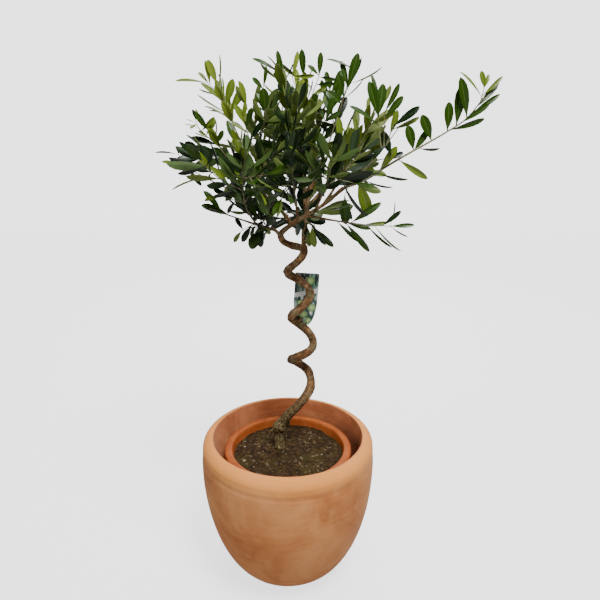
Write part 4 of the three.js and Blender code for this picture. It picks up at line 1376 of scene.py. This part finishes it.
def growSprigs(mass):
    rule, line = mass["rule"], lines[mass["name"]]
    for i, (limb, at, tip, sag) in enumerate(sprigs):
        if limb != mass["name"]:
            continue
        start = placeOn(line, at * line["length"])[0]
        tip = Vector(tip) * mm
        bend = start.lerp(tip, 0.5) - up * sag * (tip - start).length
        end = tip + (bend - tip).normalized() * rule["sprigInset"] * mm
        shoot = bentLine(start, bend, end, 12)
        grow(mass, shoot["points"], "twigRadius")
        random = seededNumbers(rule["sprigSeed"] + i)
        first = rule["sprigBare"] * shoot["length"]
        dress(mass, shoot, random, sprayTint(random, tip.z), first=first)


def growMass(mass):
    rule = mass["rule"]
    ahead = (mass["tip"] - mass["stem"][-1]).normalized()
    end = mass["tip"] - ahead * rule["tipInset"] * mm
    stemCurve = lineOf([*eased(mass["stem"])["points"], end])
    grow(mass, stemCurve["points"], "stemRadius")
    growShoots(mass)
    growShown(mass)
    growSprigs(mass)
    if rule["stemLeavesFrom"] < 1:
        random = seededNumbers(mass["seed"])
        first = lineOf(mass["stem"])["length"] * rule["stemLeavesFrom"]
        dress(mass, stemCurve, random, sprayTint(random, mass["tip"].z), first=first)


def shownPlaces(mass, spray):
    # Leaves at their own places, turned about their length from facing the eye
    rule = mass["rule"]
    found = []
    for share, x, y, z, width, turn in spray["leaves"]:
        base = placeOn(spray["line"], share * spray["line"]["length"])[0]
        reach = Vector((x, y, z)) * mm - base
        along = reach.normalized()
        toEye = (Vector(camera["place"]) - base).normalized()
        toEye = (toEye - along * toEye.dot(along)).normalized()
        found.append({
            "mass": mass, "point": base, "along": along, "spread": 0, "angle": 0,
            "tint": strayTint(spray["random"], spray["tint"], rule["tintStray"]),
            "length": reach.length, "width": width,
            "curl": rule["shownCurl"], "twist": rule["shownTwist"], "order": shownOrder,
            "facing": leaning(toEye, along.cross(toEye), math.radians(turn))})
    return found


def leafPlaces(mass, spray):
    # Opposite pairs, each pair turned a quarter from the last, smaller towards the tip
    rule, line, random = mass["rule"], spray["line"], spray["random"]
    length = line["length"]
    gap = rule["nodeGap"] * mm
    phase = random() * math.pi
    pairs = max(1, round((length - spray["first"]) / gap))
    low, high = rule["bladeLengths"]
    tipGap, usualGap = rule["tipGaps"]
    shortest, longer = rule["bladeStray"]
    slimmest, wider = rule["widthStray"]
    share = rule["leafLength"] / foliage["leafLength"]
    found = []
    for i in range(pairs + 1):
        atTip = i == pairs
        distance = length - tipGap * mm if atTip else min(spray["first"] + i * gap, length - usualGap * mm)
        point, along = placeOn(line, distance)
        size = mix(low, high, (distance / length)**3) * share * mm
        for half in (0, math.pi):
            spread = rule["tipSpread"] if atTip else rule["leafAngle"] + rule["leafSway"] * (random() - 0.5)
            tint = strayTint(random, spray["tint"], rule["tintStray"])
            found.append({
                "mass": mass, "point": point, "along": along, "spread": spread, "tint": tint,
                "angle": phase + half + (i % 2) * math.pi / 2 + rule["pairStray"] * (random() - 0.5),
                "length": size * (shortest + longer * random()),
                "width": rule["bladeShare"] * (slimmest + wider * random()),
                "curl": rule["curl"] * (random() - rule["curlBack"]),
                "twist": rule["twist"] * (random() - 0.5),
                "order": 0 if atTip else 1 + random()})
    return found


# Leaf: one template from a grid, with a fold along its midrib, curved anew for each place

leaf = {
    "across": [-1, -0.56, -0.07, 0.07, 0.56, 1],
    "along": [0, 0.1, 0.24, 0.42, 0.62, 0.8, 0.93, 1],
    "widths": [0.12, 0.15, 0.47, 0.84, 1.0, 0.9, 0.54, 0.08],
    "thickness": 0.009,  # share of its length
    "fold": 0.085,
    "clearFrom": 0.3,  # the share of its length from which it keeps off twigs and other leaves
    "twigClearance": 1.7 * mm,
    "twigGap": 3 * mm,
    "tries": [(1, 1), (0.7, 1), (1.35, 1), (0.85, 0.85), (0.5, 0.9), (1.2, 0.8), (0.7, 0.7), (1.6, 0.75)],
}


def leafTemplate():
    bm = bmesh.new()
    bmesh.ops.create_grid(bm, x_segments=len(leaf["across"]) - 1, y_segments=len(leaf["along"]) - 1, size=1)
    xs = sorted({round(vert.co.x, 4) for vert in bm.verts})
    ys = sorted({round(vert.co.y, 4) for vert in bm.verts})
    for vert in bm.verts:
        column = xs.index(round(vert.co.x, 4))
        row = ys.index(round(vert.co.y, 4))
        across = leaf["across"][column]
        width = leaf["widths"][row]
        cup = leaf["fold"] * width * (abs(across) - 0.5 * across * across)
        vert.co = (across * width, leaf["along"][row], cup)
    for face in bm.faces:
        face.material_index = 1 if abs(face.calc_center_median().x) < 0.03 else 0
    made = bmesh.ops.solidify(bm, geom=list(bm.faces), thickness=leaf["thickness"])
    for face in made["geom"]:
        if isinstance(face, bmesh.types.BMFace):
            face.material_index = 2
    bmesh.ops.recalc_face_normals(bm, faces=bm.faces)
    bm.verts.ensure_lookup_table()
    made = {
        "co": np.array([tuple(vert.co) for vert in bm.verts]),
        "faces": [[vert.index for vert in face.verts] for face in bm.faces],
        "slots": np.array([face.material_index for face in bm.faces]),
    }
    bm.free()
    return made


template = leafTemplate()
isOuter = template["co"][:, 1] > leaf["clearFrom"]
outerCorners = np.flatnonzero(isOuter)[::2]
bladeFaces = [
    face for face, slot in zip(template["faces"], template["slots"]) if slot < 2 and isOuter[face].all()]


def leafCorners(base, towards, flat, length, width, curl, twist):
    # Template corners carried to a place: bent along its length, and turned about it
    across = np.cross(towards, flat)
    x, y, z = template["co"].T
    turn = twist * y
    side = x * width / 2
    lift = z * length
    sideways = side * np.cos(turn) - lift * np.sin(turn)
    raised = side * np.sin(turn) + lift * np.cos(turn)
    bend = curl * y
    chord = length * y * np.sinc(bend / 2 / np.pi)
    reach = chord * np.cos(bend / 2) + raised * np.sin(bend)
    drop = raised * np.cos(bend) - chord * np.sin(bend / 2)
    return base + np.outer(reach, towards) + np.outer(drop, flat) + np.outer(sideways, across)


def leafAt(spot, fold, shrink):
    along = spot["along"]
    outwards = aroundStem(along, spot["angle"])
    towards = leaning(along, outwards, math.radians(spot["spread"] * fold))
    light = up - towards * up.dot(towards)
    flat = spot.get("facing") or along.cross(outwards).cross(towards).normalized()
    flat = (flat + light * spot["mass"]["rule"]["turnToLight"]).normalized()
    flat = (flat - towards * flat.dot(towards)).normalized()
    length = spot["length"] * shrink
    return leafCorners(
        np.array(spot["point"]), np.array(towards), np.array(flat), length, length * spot["width"],
        spot["curl"], spot["twist"])


def twigTree(tubes):
    gap = leaf["twigGap"]
    return treeOf([point for points, radii in tubes for point in partOf(lineOf(points), 0, 1, gap)])


openFork = {
    "limbs": {"right": (0, 0.28), "leader": (0, 0.11), "left": (0, 0.1), "front_left": (0, 0.08)},
    "gap": 4 * mm,
    "radius": 8 * mm,
    "inFront": 6 * mm,
}


def forkRays():
    # Lines of sight from the eye to the bare wood that the picture shows, free of leaves
    points = []
    for name, (low, high) in openFork["limbs"].items():
        points += partOf(lines[name], low, high, openFork["gap"])
    starts = np.array([tuple(point) for point in points])
    ahead = np.array(camera["place"]) - starts
    return starts, ahead / np.linalg.norm(ahead, axis=1)[:, None]


def hidesFork(corners, rays):
    starts, ahead = rays
    apart = corners[:, None] - starts
    depth = np.einsum("ijk,jk->ij", apart, ahead)
    aside = np.linalg.norm(apart - depth[..., None] * ahead, axis=2)
    return bool(((depth > openFork["inFront"]) & (aside < openFork["radius"])).any())


def placedLeaves(spots, twigs):
    # Each leaf in turn, shown leaves and then tip leaves first, kept only where it crosses no limb, no
    # other leaf and, but for the shown ones, no twig
    spots = sorted(spots, key=lambda spot: spot["order"])
    placed = {mass["name"]: [] for mass in masses}
    centres = np.zeros((len(spots), 3))
    reaches = np.zeros(len(spots))
    trees = []
    rays = forkRays()
    for spot in spots:
        for fold, shrink in leaf["tries"]:
            corners = leafAt(spot, fold, shrink)
            outer = corners[outerCorners]
            margin = spot["mass"]["rule"]["limbMargin"] * mm
            if not isClear(outer[::3], margin) or hidesFork(outer, rays):
                continue
            isShown = spot["order"] == shownOrder
            if not isShown and any(twigs.find(corner)[2] < leaf["twigClearance"] for corner in outer[::2]):
                continue
            centre = corners.mean(axis=0)
            reach = np.linalg.norm(corners - centre, axis=1).max()
            count = len(trees)
            gaps = np.linalg.norm(centres[:count] - centre, axis=1) - reaches[:count] - reach
            tree = BVHTree.FromPolygons(corners.tolist(), bladeFaces)
            if any(tree.overlap(trees[i]) for i in np.flatnonzero(gaps < 0)):
                continue
            centres[count], reaches[count] = centre, reach
            trees.append(tree)
            placed[spot["mass"]["name"]].append((corners, spot["tint"]))
            break
    return placed


# The deep tint is painted darker than a real leaf's green, as painted shade for the crown's shaded leaves
leafColors = {
    "leaf": {
        "Deep": (0.003, 0.016, 0.001), "Mid": (0.022, 0.058, 0.002),
        "Bright": (0.115, 0.17, 0.012), "Fresh": (0.2, 0.27, 0.025)},
    "rib": {
        "Deep": (0.018, 0.038, 0.005), "Mid": (0.07, 0.11, 0.015),
        "Bright": (0.17, 0.21, 0.04), "Fresh": (0.25, 0.29, 0.06)},
    "under": {
        "Deep": (0.01, 0.027, 0.004), "Mid": (0.04, 0.076, 0.012),
        "Bright": (0.105, 0.15, 0.03), "Fresh": (0.16, 0.205, 0.04)},
}
leafSheens = {"leaf": (0.3, 0.12), "rib": (0.42, 0.05), "under": (0.6, 0.2)}  # roughness and veins


def leafMaterials():
    # The order in which joinedLeaves counts them: tops, midribs and edges with undersides, by tint
    made = []
    for part, colors in leafColors.items():
        roughness, veins = leafSheens[part]
        made += [leafMaterial(part + name, color, roughness, veins) for name, color in colors.items()]
    return made


def joinedLeaves(name, leaves, materials):
    cornerCount = len(template["co"])
    faces = np.array(template["faces"])
    allFaces = np.concatenate([faces + cornerCount * i for i in range(len(leaves))])
    mesh = bpy.data.meshes.new(name)
    mesh.from_pydata(np.concatenate([corners for corners, tint in leaves]), [], allFaces.tolist())
    slots = np.concatenate([template["slots"] * len(tints) + tint for corners, tint in leaves])
    mesh.polygons.foreach_set("material_index", slots.astype(np.int32))
    return smoothed(name, mesh, 50, *materials)


def makeCrown():
    for mass in masses:
        growMass(mass)
    spots = []
    for mass in masses:
        for spray in mass["sprays"]:
            spots += (shownPlaces if "leaves" in spray else leafPlaces)(mass, spray)
    placed = placedLeaves(spots, twigTree([tube for mass in masses for tube in mass["tubes"]]))
    kinds = leafMaterials()
    youngWood = twigMaterial()
    for mass in masses:
        name = mass["name"]
        twigPiece = tubesMesh(name + "_twigs", mass["tubes"], 6, youngWood)
        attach(twigPiece, "root")
        leafPiece = joinedLeaves(name + "_leaves", placed[name], kinds)
        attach(leafPiece, "root")
        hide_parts(name + "_foliage")
    count = sum(map(len, placed.values()))
    print("crown ready:", count, "leaves of", len(spots), "places on", len(masses), "masses")


makeCrown()


# Plant label: a coated card with a plain print of olives and leaves, and its tie

label = {
    "width": 44 * mm,
    "height": 104 * mm,
    "thickness": 1 * mm,
    "cornerRadius": 3 * mm,
    "taperFrom": 52 * mm,
    "tilt": -4,
    "centreAcross": 37 * mm,
    "top": 594 * mm,
    "tieRadius": 0.7 * mm,
    "tieSlack": 0.9 * mm,
    "tieBend": 6.36,
    "tieStep": 0.01,
    "tieSteps": 64,
    "lowestTurn": 4,
    "bulge": (0.92, 0.98),  # shares of its half width and height where its lower sides bend
    "bandHeight": -38 * mm,
    "bandWidth": 9 * mm,
    "bandSlant": 0.26,
    "olives": [  # across, down from the top, radius in millimetres
        (6, -14, 8.5), (-11, -22, 5.5), (12, -66, 8), (-3, -80, 8.5), (-9, -58, 6.5), (9, -48, 5),
        (7, -92, 6.5),
    ],
}


def labelOutline():
    half = label["width"] / 2
    corner = label["cornerRadius"]
    taperFrom, tall = label["taperFrom"], label["height"]
    wide, deep = label["bulge"]

    def arc(start, bend, end, steps=8):
        return bentLine(Vector((*start, 0)), Vector((*bend, 0)), Vector((*end, 0)), steps)["points"]

    return [
        *arc((-half, -corner), (-half, 0), (corner - half, 0)),
        *arc((half - corner, 0), (half, 0), (half, -corner)),
        *arc((half, -taperFrom), (half * wide, -deep * tall), (0, -tall), 16),
        *arc((0, -tall), (-half * wide, -deep * tall), (-half, -taperFrom), 16)[1:],
    ]


def printMaterial():
    # Reads labelPlace: across and up the card, in metres, with its top edge at zero
    made, tree, shader = material("labelPrint", (0.2, 0.3, 0.25), 0.34, 0.5)
    flat = place(tree, (1, 1, 1), "labelPlace")
    leaves = cellsOf(tree, place(tree, (150, 52, 1), "labelPlace"), 1.35)
    tones = ramp(
        tree, leaves.outputs["Color"], (0.14, (0.012, 0.045, 0.035)), (0.34, (0.05, 0.17, 0.13)),
        (0.52, (0.16, 0.38, 0.26)), (0.7, (0.85, 0.95, 0.86)))
    edges = ramp(tree, leaves.outputs["Distance"], (0.3, 1), (0.66, 0.3))
    base = blended(tree, 1, tones, edges, "MULTIPLY")
    for x, y, radius in label["olives"]:
        away = tree.nodes.new("ShaderNodeVectorMath")
        away.operation = "DISTANCE"
        away.inputs[1].default_value = (x * mm, y * mm, 0)
        tree.links.new(flat, away.inputs[0])
        inside = maths(tree, "DIVIDE", away.outputs["Value"], radius * mm)
        shade = ramp(
            tree, inside, (0.0, (0.72, 0.84, 0.42)), (0.5, (0.42, 0.6, 0.22)), (0.95, (0.12, 0.28, 0.1)))
        base = blended(tree, ramp(tree, inside, (0.93, 1), (1.0, 0)), base, shade)
    rise = maths(tree, "MULTIPLY", axisOf(tree, flat, "X"), label["bandSlant"])
    level = maths(tree, "SUBTRACT", axisOf(tree, flat, "Y"), rise)
    offset = maths(tree, "SUBTRACT", level, label["bandHeight"])
    band = maths(tree, "LESS_THAN", maths(tree, "ABSOLUTE", offset, 0), label["bandWidth"] / 2)
    base = blended(tree, band, base, (0.82, 0.83, 0.8))
    tree.links.new(base, shader.inputs["Base Color"])
    bump(tree, shader, noiseOf(tree, flat, 900, 2), 0.05, 0.0002)
    return made


def cardFront():
    # The card hangs just behind the turn of the stem that reaches farthest back
    across, height, deep = stem["bends"][label["lowestTurn"]]
    return stem["axisBack"] + deep * mm + stemRadius(height * mm) + clearance


def makeTie():
    knot = stemPoint(label["tieBend"])
    step = label["tieStep"]
    ahead = (stemPoint(label["tieBend"] + step) - stemPoint(label["tieBend"] - step)).normalized()
    beside = ahead.cross(Vector((0, 1, 0))).normalized()
    radius = stemRadius(knot.z)
    front = knot.y - radius - label["tieSlack"] - label["tieRadius"]
    back = cardFront() + label["thickness"] + clearance + label["tieRadius"]
    centre = Vector((knot.x, (front + back) / 2, knot.z))
    halfDeep = (back - front) / 2
    halfWide = radius + 2 * label["tieSlack"] + label["tieRadius"]
    loop = []
    for i in range(label["tieSteps"] + 1):
        angle = 2 * math.pi * i / label["tieSteps"]
        point = centre + beside * (halfWide * math.cos(angle))
        point.y += halfDeep * math.sin(angle)
        loop.append(point)
    wire, tree, shader = material("tieWire", (0.16, 0.12, 0.07), 0.55, 0.4)
    bump(tree, shader, noiseOf(tree, place(tree), 600, 3), 0.3, 0.0003)
    tie = tubesMesh("garden_tie", [(loop, [label["tieRadius"]] * len(loop))], 12, wire)
    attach(tie, "root")
    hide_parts("label_tie")


def makeCard():
    bm = bmesh.new()
    card = bm.faces.new([bm.verts.new(point) for point in labelOutline()])
    bmesh.ops.triangulate(bm, faces=[card])
    bmesh.ops.subdivide_edges(bm, edges=bm.edges[:], cuts=2, use_grid_fill=True)
    bmesh.ops.recalc_face_normals(bm, faces=bm.faces)
    bmesh.ops.solidify(bm, geom=bm.faces[:], thickness=label["thickness"])
    bmesh.ops.recalc_face_normals(bm, faces=bm.faces)
    flatPlaces = np.array([(vert.co.x, vert.co.y, 0) for vert in bm.verts], np.float32)
    lowest = min(vert.co.z for vert in bm.verts)
    stand = (Matrix.Translation((label["centreAcross"], cardFront(), label["top"]))
             @ Matrix.Rotation(-math.radians(label["tilt"]), 4, "Y") @ Matrix.Rotation(math.pi / 2, 4, "X")
             @ Matrix.Translation((0, 0, -lowest - label["thickness"])))
    bmesh.ops.transform(bm, matrix=stand, verts=bm.verts)
    bm.normal_update()
    for face in bm.faces:
        face.material_index = 0 if face.normal.y < -0.5 else 1
    blank, tree, shader = material("labelBack", (0.78, 0.78, 0.75), 0.5, 0.4)
    bump(tree, shader, noiseOf(tree, place(tree), 700, 2), 0.08, 0.0002)
    piece = finished(bm, "plant_label", printMaterial(), blank, sharpAngle=30)
    giveAttribute(piece.data, "labelPlace", flatPlaces)
    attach(piece, "root")
    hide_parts("label_card")


makeTie()
makeCard()
print("label ready")
